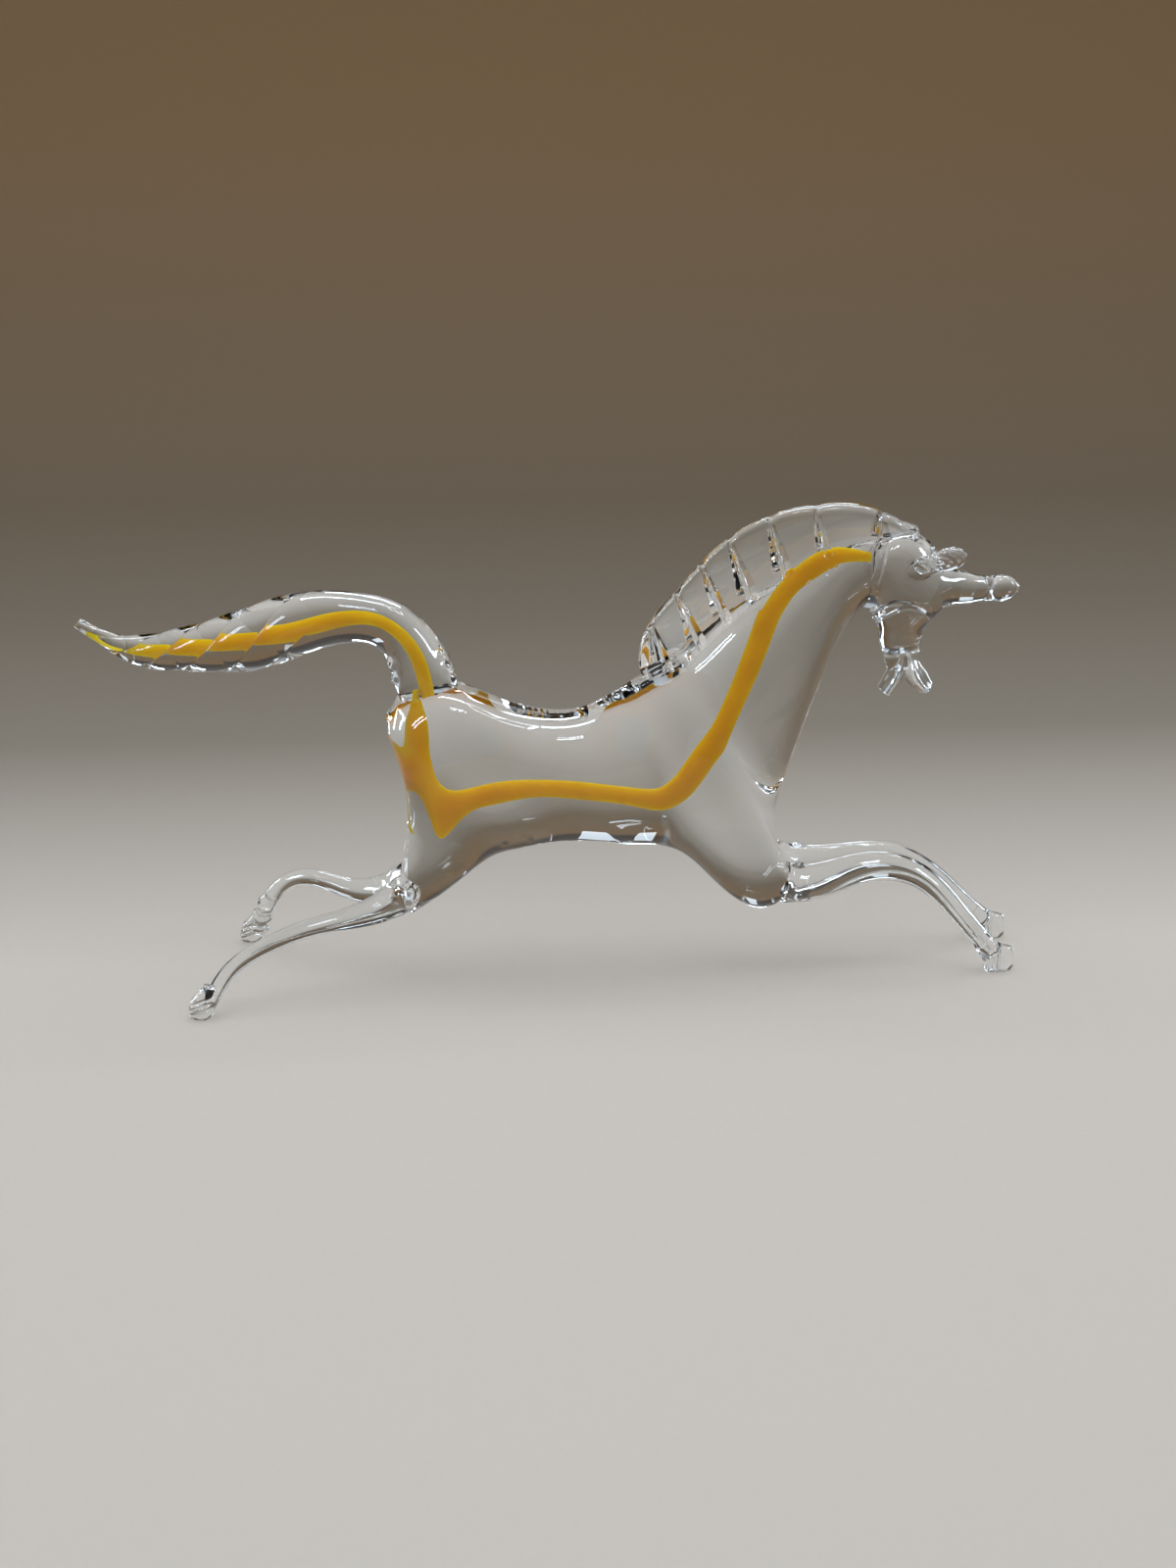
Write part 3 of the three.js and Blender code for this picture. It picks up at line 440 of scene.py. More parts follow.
class HorseFinish(bpy.types.PropertyGroup):
    """Colours of the glass."""

    clear_bright: colour("Clear glass", "Colour of the clear glass", (1.0, 1.0, 1.0))
    clear_tinted: colour("Clear tint", "Faint tint that drifts through the clear glass", (0.95, 0.97, 0.96))
    clear_shadow: colour("Glass shadow", "How much lamp light the clear glass passes", (0.8, 0.8, 0.79))
    amber_bright: colour("Amber", "Bright streaks of the amber glass", (0.75, 0.375, 0.0))
    amber_deep: colour("Deep amber", "Deep streaks of the amber glass", (0.67, 0.325, 0.0))


class HorseStage(bpy.types.PropertyGroup):
    """Floor, backdrop, lamps and camera."""

    floor_colour: colour("Floor", "Colour of the floor", (0.62, 0.60, 0.575))
    # Sweep, shade, backdrop and top colours darken from the floor up: painted shade of a backdrop lit less
    # higher up
    sweep_colour: colour("Sweep", "Colour behind the horse, where the floor ends", (0.25, 0.232, 0.2))
    shade_colour: colour("Shade", "Colour where the backdrop curves up", (0.148, 0.121, 0.09))
    backdrop_colour: colour("Backdrop", "Colour of the backdrop above", (0.178, 0.12, 0.067))
    top_shade_colour: colour("Dusk", "Colour of the backdrop's top", (0.045, 0.037, 0.03))
    room_colour: colour("Room", "Colour of the room before and behind the horse", (0.26, 0.27, 0.29))
    room_side_colour: colour("Room sides", "Colour of the room to the left and right", (0.6, 0.7, 0.8))
    camera_distance: length("Camera distance", "Distance from the camera to the horse", 0.467)
    window_colour: colour("Windows", "Colour of the windows that the glass reflects", (0.76, 0.88, 1.0))
    window_glow: share("Window glow", "Brightness of the windows, where 1 is white", 26.0)
    soft_power: share("Soft light", "Power of the soft lamp overhead in watts", 6.6)
    fill_light: share("Fill light", "Brightness of the room on matt surfaces, where 1 is white", 0.55)


def natural(knots, values, at):
    """Natural cubic spline: third-degree stretches that meet in slope and bend, unbent at the ends."""
    gaps = np.diff(knots)[:, None]
    slopes = np.diff(values, axis=0) / gaps
    inner = np.arange(1, len(knots) - 1)
    system = np.eye(len(knots))
    system[inner, inner - 1] = gaps[:-1, 0]
    system[inner, inner] = 2 * (gaps[:-1, 0] + gaps[1:, 0])
    system[inner, inner + 1] = gaps[1:, 0]
    right = np.zeros_like(values)
    right[1:-1] = 6 * np.diff(slopes, axis=0)
    bend = np.linalg.solve(system, right)
    k = np.clip(np.searchsorted(knots, at) - 1, 0, len(knots) - 2)
    past = (at - knots[k])[:, None]
    left = (knots[k + 1] - at)[:, None]
    gap = gaps[k]
    cubes = (bend[k] * left**3 + bend[k + 1] * past**3) / (6 * gap)
    before = (values[k] / gap - bend[k] * gap / 6) * left
    after = (values[k + 1] / gap - bend[k + 1] * gap / 6) * past
    return cubes + before + after


def distances(points):
    """Running distance along points."""
    return np.r_[0.0, np.cumsum(np.linalg.norm(np.diff(points, axis=0), axis=1))]


def unit(vectors):
    """Vectors at length one."""
    return vectors / np.linalg.norm(vectors, axis=-1, keepdims=True)


def smoothstep(values, low, high):
    """0 below low, 1 above high, and three squares less two cubes between."""
    t = np.clip((values - low) / (high - low), 0.0, 1.0)
    return t * t * (3 - 2 * t)


def in_plane(points, y=0.0):
    """Side-view points [x, z] as points in space."""
    points = np.asarray(points, float)
    return np.stack([points[..., 0], np.full(points.shape[:-1], y), points[..., 1]], -1)


def rib_knots(ribs):
    """Running mean of the distances between the ribs' tops and between their bottoms."""
    return (distances(ribs[:, 0:2]) + distances(ribs[:, 2:4])) / 2


def rib_axes(rows, sizes, rings):
    """Middle, half rise and half width of rings along ribs, as natural splines of the running distance."""
    ribs = np.array([(*row[:4], getattr(sizes, row[4]) * row[5] / MM) for row in rows])
    knots = rib_knots(ribs)
    at = natural(knots, ribs, np.linspace(0, knots[-1], rings))
    top, bottom = in_plane(at[:, 0:2]), in_plane(at[:, 2:4])
    return (top + bottom) / 2, (top - bottom) / 2, at[:, 4:5] / 2 * ACROSS


def sweep_axes(line, tall, wide):
    """Half axes of rings square to a line: one in its upright plane, the other across it."""
    ahead = unit(np.gradient(line, axis=0))
    over = unit(np.cross(ahead, ACROSS))
    aside = np.cross(over, ahead)
    return line, over * tall[:, None], aside * wide[:, None]


def domed(axes, bulges, rings=14):
    """Adds a dome past each end: rings shrink by the cosine of a quarter turn and move out by its sine."""
    centre, tall, wide = axes
    quarter = np.linspace(0, DOME_SHARE * np.pi / 2, rings + 1)[1:, None]
    out = unit(centre[[0, -1]] - centre[[1, -2]]) * np.array(bulges)[:, None]
    first = centre[0] + np.sin(quarter) * out[0], np.cos(quarter) * tall[0], np.cos(quarter) * wide[0]
    last = centre[-1] + np.sin(quarter) * out[1], np.cos(quarter) * tall[-1], np.cos(quarter) * wide[-1]
    return tuple(np.concatenate([a[::-1], b, c]) for a, b, c in zip(first, axes, last))


def turns(columns):
    """Equal turns round a ring."""
    return np.linspace(0, 2 * np.pi, columns, endpoint=False)


def oval_form(axes, columns, factor=1.0, twist=0.0):
    """Grid of points: middle plus half rise times the cosine and half width times the sine of the turn, all
    times a factor for each point. Each ring may be twisted by an angle of its own."""
    centre, tall, wide = axes
    turn = turns(columns)[None, :, None] + np.reshape(twist, (-1, 1, 1))
    factor = np.broadcast_to(factor, (len(centre), columns))[..., None]
    spokes = tall[:, None] * np.cos(turn) + wide[:, None] * np.sin(turn)
    return Form(centre[:, None] + factor * spokes, centre, tall, wide)


def rib_form(ribs, sizes, bulges, rings, columns):
    """Ovals through ribs, with a dome at each end."""
    return oval_form(domed(rib_axes(ribs, sizes, rings), bulges), columns)


def beaded(form, beads):
    """Beads of melted glass on a form: each lifts the surface by a bell of the distance from its place."""
    spokes = unit(form.grid - form.centre[:, None])
    lift = np.zeros(form.grid.shape[:2])
    for *place, height, breadth in beads:
        lift += height * groove(np.linalg.norm(form.grid - place, axis=-1), breadth)
    return form._replace(grid=form.grid + spokes * lift[..., None])


def creased(form, depth):
    """The form with its surface sunk towards the middle of each ring by a depth for each point."""
    spokes = unit(form.grid - form.centre[:, None])
    return form._replace(grid=form.grid - spokes * depth[..., None])


def groove(off, breadth):
    """Outline of a groove or a bead: a bell of the distance off its middle."""
    return np.exp(-((off / breadth) ** 2))


def closed_mesh(name, grid):
    """Mesh of a grid of rings in millimetres: quads between rings, a fan at each end, faces turned out."""
    rings, columns, _ = grid.shape
    points = np.concatenate([grid.reshape(-1, 3), grid[[0, -1]].mean(axis=1)])
    i, j = np.meshgrid(np.arange(rings - 1), np.arange(columns), indexing="ij")
    k = (j + 1) % columns
    quads = np.stack([i * columns + j, (i + 1) * columns + j, (i + 1) * columns + k, i * columns + k], -1)
    quads = quads.reshape(-1, 4)
    j = np.arange(columns)
    k = (j + 1) % columns
    last = (rings - 1) * columns
    pole = rings * columns
    fans = np.concatenate([
        np.stack([np.full(columns, pole), j, k], -1),
        np.stack([np.full(columns, pole + 1), last + k, last + j], -1),
    ])
    corners = points[quads]
    volume = np.einsum("ij,ij->", corners[:, 0], np.cross(corners[:, 1], corners[:, 2]))
    volume += np.einsum("ij,ij->", corners[:, 0], np.cross(corners[:, 2], corners[:, 3]))
    if volume < 0:
        quads, fans = quads[:, ::-1], fans[:, ::-1]
    mesh = bpy.data.meshes.new(name)
    mesh.from_pydata((points * MM + SIDE_ORIGIN).tolist(), [], quads.tolist() + fans.tolist())
    mesh.shade_smooth()
    return mesh


def melted(target, *others):
    """Joins closed shells into one by a union, and takes the others away."""
    for other in others:
        join = target.modifiers.new("melt", "BOOLEAN")
        join.operation = "UNION"
        join.solver = "MANIFOLD"
        join.object = other
    depsgraph = bpy.context.evaluated_depsgraph_get()
    mesh = bpy.data.meshes.new_from_object(target.evaluated_get(depsgraph))
    target.modifiers.clear()
    target.data = mesh
    mesh.shade_smooth()
    for other in others:
        bpy.data.objects.remove(other)


def shell(name, form):
    """An object with the closed mesh of a form."""
    made = bpy.data.objects.new(name, closed_mesh(name, form.grid))
    bpy.context.scene.collection.objects.link(made)
    return made


def set_piece(node, ending, materials, form, others):
    """A piece from its form, with other shells melted on, set on the root body in place of its node."""
    piece = shell(f"{node}_{ending}", form)
    if others:
        melted(piece, *(shell(node + "_part", other) for other in others))
    piece.data.materials.clear()
    for material in materials:
        piece.data.materials.append(material)
    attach(piece, "root")
    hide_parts(node)
    pieces[node] = piece


def clear_piece(node, form, *others):
    """A clear piece, with a second material for the faces inside other clear pieces."""
    forms[node] = form
    materials = material_of("drawn_clear", clear_glass), material_of("melted_seam", melted_seam)
    set_piece(node, "glass", materials, form, others)


def amber_piece(node, form, *others):
    """An amber piece."""
    set_piece(node, "amber", [material_of("drawn_amber", amber_glass)], form, others)


def material_of(name, surface):
    """The material of a name, made when it is first asked for: the function given fills its tree and
    returns the shader of the surface."""
    if name not in bpy.data.materials:
        material = bpy.data.materials.new(name)
        material.use_nodes = True
        tree = material.node_tree
        tree.nodes.clear()
        add_node(tree, "OutputMaterial", {"Surface": surface(tree)})
    return bpy.data.materials[name]


def add_node(tree, kind, inputs=None, **settings):
    """Outputs of a new shader node. Each input is a constant or another node's output."""
    made = tree.nodes.new("ShaderNode" + kind)
    for name, value in settings.items():
        setattr(made, name, value)
    for name, value in (inputs or {}).items():
        if isinstance(value, bpy.types.NodeSocket):
            tree.links.new(value, made.inputs[name])
        else:
            made.inputs[name].default_value = value
    return made.outputs


def ramp(tree, factor, *stops):
    """A colour that goes with the factor from stop to stop, each a share and a colour."""
    made = tree.nodes.new("ShaderNodeValToRGB")
    tree.links.new(factor, made.inputs["Fac"])
    elements = made.color_ramp.elements
    elements.remove(elements[1])
    elements[0].position = stops[0][0]
    elements[0].color = (*stops[0][1], 1.0)
    for place, tone in stops[1:]:
        elements.new(place).color = (*tone, 1.0)
    return made.outputs["Color"]


def noise_at(tree, scale, detail=2.0):
    """Noise on the piece's own coordinates, with the given number of waves to a metre."""
    place = add_node(tree, "TexCoord")["Object"]
    return add_node(tree, "TexNoise", {"Scale": scale, "Detail": detail, "Vector": place})["Fac"]


def streaked(tree, noise, low, high):
    """A colour that goes from low to high with the noise."""
    return ramp(tree, noise, (STREAK_LOW, low), (STREAK_HIGH, high))


def rippled(tree, scale, height):
    """A normal bent by waves of noise of the given height in metres."""
    waves = noise_at(tree, scale)
    return add_node(tree, "Bump", {"Strength": 1.0, "Distance": height, "Height": waves})["Normal"]


def clear_glass(tree):
    """Fire-polished clear glass: it refracts, ripples as drawn glass does, and lets lamp light through."""
    finish = bpy.context.scene.horse_finish
    glass = add_node(tree, "BsdfPrincipled", {
        "Base Color": streaked(tree, noise_at(tree, scale=90.0), finish.clear_tinted, finish.clear_bright),
        "Roughness": 0.0,
        "IOR": 1.5,
        "Transmission Weight": 1.0,
        "Normal": rippled(tree, scale=110.0, height=0.00004),
    })
    passing = add_node(tree, "BsdfTransparent", {"Color": (*finish.clear_shadow, 1.0)})
    rays = add_node(tree, "LightPath")
    either = {0: rays["Is Shadow Ray"], 1: rays["Is Diffuse Ray"]}
    lit = add_node(tree, "Math", either, operation="MAXIMUM")
    return add_node(tree, "MixShader", {"Fac": lit[0], 1: glass[0], 2: passing[0]})[0]


def melted_seam(tree):
    """Glass inside glass: where one clear piece is melted into another, no surface is left to see."""
    return add_node(tree, "BsdfTransparent")[0]


def amber_glass(tree):
    """Amber glass inside the clear: streaked colour, and no gloss of its own, because it lies in glass."""
    finish = bpy.context.scene.horse_finish
    noise = noise_at(tree, scale=140.0, detail=3.0)
    return add_node(tree, "BsdfPrincipled", {
        "Base Color": streaked(tree, noise, finish.amber_deep, finish.amber_bright),
        "Roughness": 0.6,
        "Specular IOR Level": 0.0,
        "Subsurface Weight": 1.0,
        "Subsurface Radius": (1.0, 1.0, 1.0),
        "Subsurface Scale": 0.006,
        "Normal": rippled(tree, scale=300.0, height=0.00005),
    })[0]


class HorseMaker:
    """What every maker of a piece shares."""

    bl_options = {"REGISTER", "UNDO"}

    def execute(self, context):
        """Makes the piece with the scene's sizes."""
        self.make(context.scene.horse_sizes)
        return {"FINISHED"}


class GLASSHORSE_OT_body(HorseMaker, bpy.types.Operator):
    """Draws the clear body in rounded oblongs, from the stifle over the croup and up the neck"""

    bl_idname = "glass_horse.body"
    bl_label = "Body"

    def make(self, sizes):
        """Rounded oblongs through the ribs, pressed flat on both sides: the radius is one over the root of
        the sum of the powers of the cosine and the sine of the turn. The belly is cut off below a cubic
        arch with a few ripples, and a dome closes the stifle and the poll."""
        rings, columns = 390, 224
        axes = domed(rib_axes(BODY_RIBS, sizes, rings), BODY_BULGES)
        knots = rib_knots(np.array([row[:4] for row in BODY_RIBS]))
        at = np.linspace(0, knots[-1], rings)
        dome = (len(axes[0]) - rings) // 2
        below, above = (
            np.pad(np.interp(at, knots, powers), dome, mode="edge")[:, None]
            for powers in (SQUARE_BELOW, SQUARE_ABOVE)
        )
        turn = turns(columns)
        power = np.where(np.cos(turn) > 0, above, below)
        factor = (np.abs(np.cos(turn)) ** power + np.abs(np.sin(turn)) ** power) ** (-1 / power)
        form = oval_form(axes, columns, factor)
        x = form.grid[..., 0]
        press = PRESS_Z - PRESS_SINK * np.abs((x - PRESS_X) / PRESS_HALF_LENGTH) ** 3
        fading = 1 - smoothstep(x, RIPPLES_END - RIPPLES_FADE, RIPPLES_END)
        press += RIPPLE_HEIGHT * np.cos(2 * np.pi * x / RIPPLE_LENGTH) * fading
        form.grid[..., 2] = np.maximum(form.grid[..., 2], press)
        clear_piece("body", beaded(form, BODY_BEADS))


class GLASSHORSE_OT_cores(HorseMaker, bpy.types.Operator):
    """Lays the amber cores inside the body and the tail"""

    bl_idname = "glass_horse.cores"
    bl_label = "Amber cores"

    def make(self, sizes):
        """Rib ovals with domed ends, the body's core joined with its strand."""
        core = rib_form(CORE_RIBS, sizes, CORE_BULGES, rings=420, columns=48)
        strand = rib_form(STRAND_RIBS, sizes, CORE_BULGES, rings=80, columns=32)
        amber_piece("body_core", core, strand)
        amber_piece("tail_core", rib_form(TAIL_CORE_RIBS, sizes, CORE_BULGES, rings=300, columns=48))


class GLASSHORSE_OT_head(HorseMaker, bpy.types.Operator):
    """Draws the head down from the poll and spreads its two snipped lips"""

    bl_idname = "glass_horse.head"
    bl_label = "Head"

    def make(self, sizes):
        """Rib ovals for the face with creases and a ledge sunk into it, and for each lip ovals along its
        line that thin as the lip tapers."""
        head = rib_form(HEAD_RIBS, sizes, HEAD_BULGES, rings=260, columns=160)
        x, z = head.grid[..., 0], head.grid[..., 2]
        above_face = z - FACE_ARCH_Z - FACE_ARCH_RISE * (1 - ((x - FACE_ARCH_X) / FACE_ARCH_SPAN) ** 2)
        above_grip = z - GRIP_Z - GRIP_SLOPE * (x - GRIP_X)
        beside_poll = x - POLL_X - POLL_LEAN * (z - POLL_Z)
        upper = smoothstep(z, POLL_LINE_END, POLL_LINE_END + POLL_LINE_FADE)
        sunk = FACE_CREASE * groove(above_face, CREASE_BREADTH)
        sunk += GRIP_CREASE * groove(above_grip, CREASE_BREADTH)
        sunk += POLL_CREASE * groove(beside_poll, CREASE_BREADTH) * upper
        sunk += FACE_LEDGE * smoothstep(-above_face, -CREASE_BREADTH, CREASE_BREADTH)
        lips = self.lip(UPPER_LIP, UPPER_LIP_TAPER, sizes), self.lip(LOWER_LIP, LOWER_LIP_TAPER, sizes)
        clear_piece("head", creased(head, sunk), *lips)

    def lip(self, line, taper, sizes):
        """Ovals square to the lip's line, ridged by a cosine of the turn: the thickness goes with the
        taper, the width with its root."""
        rings, columns = 60, 96
        points = in_plane(line)
        knots = distances(points)
        at = natural(knots, np.column_stack([points, taper]), np.linspace(0, knots[-1], rings))
        tall = at[:, 3] * sizes.lip_thickness / MM / 2
        wide = np.sqrt(at[:, 3]) * sizes.lip_width / MM / 2
        ridges = 1 + LIP_RIDGE_SHARE * np.cos(LIP_RIDGES * turns(columns) + np.pi / LIP_RIDGES)
        return oval_form(domed(sweep_axes(at[:, :3], tall, wide), LIP_BULGES), columns, ridges)


class GLASSHORSE_OT_mane(HorseMaker, bpy.types.Operator):
    """Presses the mane onto the crest and pinches it into pleats"""

    bl_idname = "glass_horse.mane"
    bl_label = "Mane"

    def make(self, sizes):
        """On each ring the outline is a quarter oval sunk in the neck, a flank that thins by a power of the
        way up so that it leaves the neck at the neck's own slope, and a round rim. Darts are cut in:
        deepest and broadest at the heel, narrow at the tip."""
        rings, neck_rings = 560, 2000
        centre, tall, wide = rib_axes(BODY_RIBS, sizes, neck_rings)
        past = (centre + tall)[:, 0] >= BODY_RIBS[WITHERS_RIB][0]
        tops = np.vstack([(centre + tall)[past], in_plane(HEAD_RIBS[1][:2])])
        halves = np.column_stack([np.linalg.norm(tall[past], axis=1), np.linalg.norm(wide[past], axis=1)])
        stations = np.column_stack([tops, np.vstack([halves, halves[-1]])])
        run = distances(tops)
        u = np.linspace(0, 1, rings)
        at = np.column_stack([np.interp(u * run[-1], run, column) for column in stations.T])
        crest, deep, broad = at[:, :3], at[:, 3:4], at[:, 4:5]
        ahead = unit(np.gradient(crest, axis=0))
        square = np.column_stack([-ahead[:, 2], ahead[:, 1], ahead[:, 0]])
        up = unit(square * (1 - MANE_LEAN) + UPWARD * MANE_LEAN)
        rise = np.array(MANE_RISE)
        full = sizes.mane_height, sizes.mane_rim_thickness / 2
        height, rim = (natural(rise[:, 0], rise[:, 1:], u) * full / MM).T
        end = np.sqrt(1 - (1 - np.clip(u * run[-1] / MANE_END, 0, 1)) ** 2 * MANE_END_CLOSING)
        off = (u[:, None] - np.array(PLEATS)[:, 0]) * run[-1]
        notches = SCALLOP_DEPTH * groove(off, SCALLOP_BREADTH).sum(axis=1)
        height = height * (MANE_END_LOW + (1 - MANE_END_LOW) * end) - notches
        outline = height[:, None], (rim * end)[:, None], deep, broad
        rise_near, half_near = self.flank(sizes, *outline, off)
        rise_far, half_far = self.flank(sizes, *outline, off + PLEAT_SKEW)
        lift = np.concatenate([rise_near, rise_far[:, -2:0:-1]], axis=1)
        half = np.concatenate([-half_near, half_far[:, -2:0:-1]], axis=1)
        grid = crest[:, None] + up[:, None] * lift[..., None] + ACROSS * half[..., None]
        low, high = lift.min(axis=1)[:, None], lift.max(axis=1)[:, None]
        spread = ACROSS * np.abs(half).max(axis=1)[:, None]
        clear_piece("mane", Form(grid, crest + up * (low + high) / 2, up * (high - low) / 2, spread))

    def flank(self, sizes, height, rim, deep, broad, off):
        """Rise above the crest and half thickness of one side, from the root up the flank to the rim."""
        quarter = np.linspace(0, np.pi / 2, MANE_QUARTER_POINTS)[None, :]
        sunk = np.minimum(MANE_GRIP, deep * MANE_GRIP_SHARE)
        inner = 1 - sunk / deep
        grip = broad * np.sqrt(1 - inner**2) - MANE_BITE
        slope = broad / deep * inner / np.sqrt(1 - inner**2)
        reach = height - rim + sunk
        power = np.clip(slope * reach / np.maximum(grip - rim, MANE_LEAST_STEP), *MANE_POWERS)
        t = np.linspace(1, 0, MANE_FLANK_POINTS)[None, :]
        rise = height - rim - t * reach
        half = rim + (grip - rim) * t**power
        tip = np.maximum(height * PLEAT_TIP, PLEAT_LEAST_TIP)
        way = np.clip((rise - PLEAT_HEEL) / (tip - PLEAT_HEEL), 0, 1)
        heel = smoothstep(rise, PLEAT_HEEL - PLEAT_HEEL_BELOW, PLEAT_HEEL + PLEAT_HEEL_ABOVE)
        for k, (_, depth, breadth) in enumerate(PLEATS):
            spread = sizes.pleat_breadth / MM / 2 * breadth * (PLEAT_TOE + (1 - PLEAT_TOE) * (1 - way))
            dart = np.clip(1 - np.abs(off[:, k : k + 1]) / spread, 0, 1)
            cut = np.minimum(sizes.pleat_depth / MM * depth * (1 - way) ** PLEAT_FADE, half * PLEAT_MOST)
            half = half - cut * heel * dart
        root = -sunk - (MANE_SINK - sunk) * np.cos(quarter), grip * np.sin(quarter)
        cap = height - rim + rim * np.sin(quarter), rim * np.cos(quarter)
        parts = zip(root, (rise, half), cap)
        return [np.concatenate([a[:, :-1], b, c[:, 1:]], axis=1) for a, b, c in parts]


class GLASSHORSE_OT_forelock(HorseMaker, bpy.types.Operator):
    """Pulls the forelock forward from the brow"""

    bl_idname = "glass_horse.forelock"
    bl_label = "Forelock"

    def make(self, sizes):
        """Rib ovals with a rounded end, and two crossing grooves pinched into both faces."""
        rings, columns = 240, 112
        form = rib_form(FORELOCK_RIBS, sizes, FORELOCK_BULGES, rings, columns)
        along, slant = form.grid[..., 0] - PINCH_X, PINCH_SLOPE * (form.grid[..., 2] - PINCH_Z)
        marks = groove(along - slant, PINCH_BREADTH) + groove(along + slant, PINCH_BREADTH)
        sunk = PINCH_DEPTH * marks * np.sin(turns(columns))
        clear_piece("forelock", form._replace(grid=form.grid - ACROSS * sunk[..., None]))


class GLASSHORSE_OT_ears(HorseMaker, bpy.types.Operator):
    """Presses two leaves onto the sides of the head for ears"""

    bl_idname = "glass_horse.ears"
    bl_label = "Ears"

    def make(self, sizes):
        """Ovals along a straight line that swell and taper, with rings pressed into both faces."""
        rings, columns = 120, 80
        s = np.linspace(0, 1, rings)
        stations = np.linspace(0, 1, len(EAR_TAPER))
        taper = natural(stations, np.array(EAR_TAPER)[:, None], s)[:, 0]
        for node, (side, *place) in EARS.items():
            aim = unit(EAR_AIM * (1, side, 1))
            root = in_plane(place, side * (sizes.cheek_width - sizes.ear_thickness) / MM / 2)
            line = root + aim * (s * sizes.ear_length / MM)[:, None]
            tall = taper * sizes.ear_width / MM / 2
            wide = np.sqrt(taper) * sizes.ear_thickness / MM / 2
            form = oval_form(domed(sweep_axes(line, tall, wide), EAR_BULGES), columns)
            out = form.grid - line.mean(axis=0)
            along = out @ aim / (sizes.ear_length / MM / 2)
            rise = out[..., 2] / (sizes.ear_width / MM / 2)
            far = np.hypot(along, rise)
            ripple = EAR_RING_DEPTH * np.cos(2 * np.pi * EAR_RINGS * far) * np.clip(1 - far, 0, 1)
            pressed = unit(form.wide)[:, None] * (ripple * np.sin(turns(columns)))[..., None]
            clear_piece(node, form._replace(grid=form.grid + pressed))


class GLASSHORSE_OT_tail(HorseMaker, bpy.types.Operator):
    """Draws the tail out to a point, fluted and twisted past its first bend"""

    bl_idname = "glass_horse.tail"
    bl_label = "Tail"

    def make(self, sizes):
        """Rib ovals wrapped in flutes: the radius swells as a power of the sine between grooves, less on
        the far side, and the rings twist faster towards the tip."""
        rings, columns = 420, 208
        axes = domed(rib_axes(TAIL_RIBS, sizes, rings), TAIL_BULGES)
        along = np.linspace(0, 1, len(axes[0]))[:, None]
        half = np.linalg.norm(axes[2], axis=1)[:, None]
        grown = smoothstep(along, FLUTES_BEGIN, FLUTES_FULL)
        past = np.maximum(along - FLUTES_BEGIN, 0)
        twist = 2 * np.pi * (FLUTE_START + sizes.flute_turns * (past + FLUTE_QUICKENING * past**2))
        swell = np.abs(np.sin(sizes.flute_count * turns(columns) / 2)) ** FLUTE_ROUNDNESS
        near = (1 - np.sin(turns(columns) - twist)) / 2
        depth = sizes.flute_depth / MM * (FLUTE_FAR_SHARE + (1 - FLUTE_FAR_SHARE) * near)
        factor = 1 - grown * (1 - swell) * depth / (half + depth)
        clear_piece("tail", beaded(oval_form(axes, columns, factor, -twist), TAIL_BEADS))


def leg_sizes(leg, sizes):
    """Root and shank diameter, half track and hoof length of a leg, in millimetres."""
    if leg.pair == "fore":
        found = sizes.foreleg_root, sizes.foreleg_shank, sizes.fore_track / 2, sizes.fore_hoof_length
    else:
        found = sizes.hind_leg_root, sizes.hind_leg_shank, sizes.hind_track / 2, sizes.hind_hoof_length
    return [size / MM for size in found]


def hoof_axes(leg, sizes, rings=90):
    """Rings of a hoof from the pastern down: they swell from the shank to a bead and close on a quarter
    circle. The hoof is set so low that its lowest point lies under the floor by the cut."""
    _, shank, half_track, hoof_length = leg_sizes(leg, sizes)
    lean = HOOF_LEANS[leg.pair]
    aim = np.array([np.sign(leg.hoof_x) * np.cos(lean), 0.0, -np.sin(lean)])
    s = np.sin(np.linspace(0, np.pi / 2, rings)) * HOOF_LAST_RING
    swell = smoothstep(s, HOOF_SHOULDER, HOOF_BALL)
    close = np.sqrt(1 - np.clip((s - HOOF_BALL) / (1 - HOOF_BALL), 0, 1) ** 2)
    neck = shank * (HOOF_NECK + (1 - HOOF_NECK) * smoothstep(s, 0.0, HOOF_SHOULDER)) * (1 - swell)
    tall = close * (neck + sizes.hoof_width / MM * HOOF_SHARES[leg.pair] * swell) / 2
    wide = close * (neck + sizes.hoof_thickness / MM * swell) / 2
    middle = in_plane((leg.hoof_x, 0.0), leg.side * half_track)
    line = middle + aim * (s - 0.5)[:, None] * hoof_length
    over = unit(np.cross(aim, ACROSS))
    lowest = (line[:, 2] - tall * np.abs(over[2])).min()
    line = line - UPWARD * (lowest + SOLE_CUT)
    return line, over * tall[:, None], ACROSS * wide[:, None], swell * close, aim


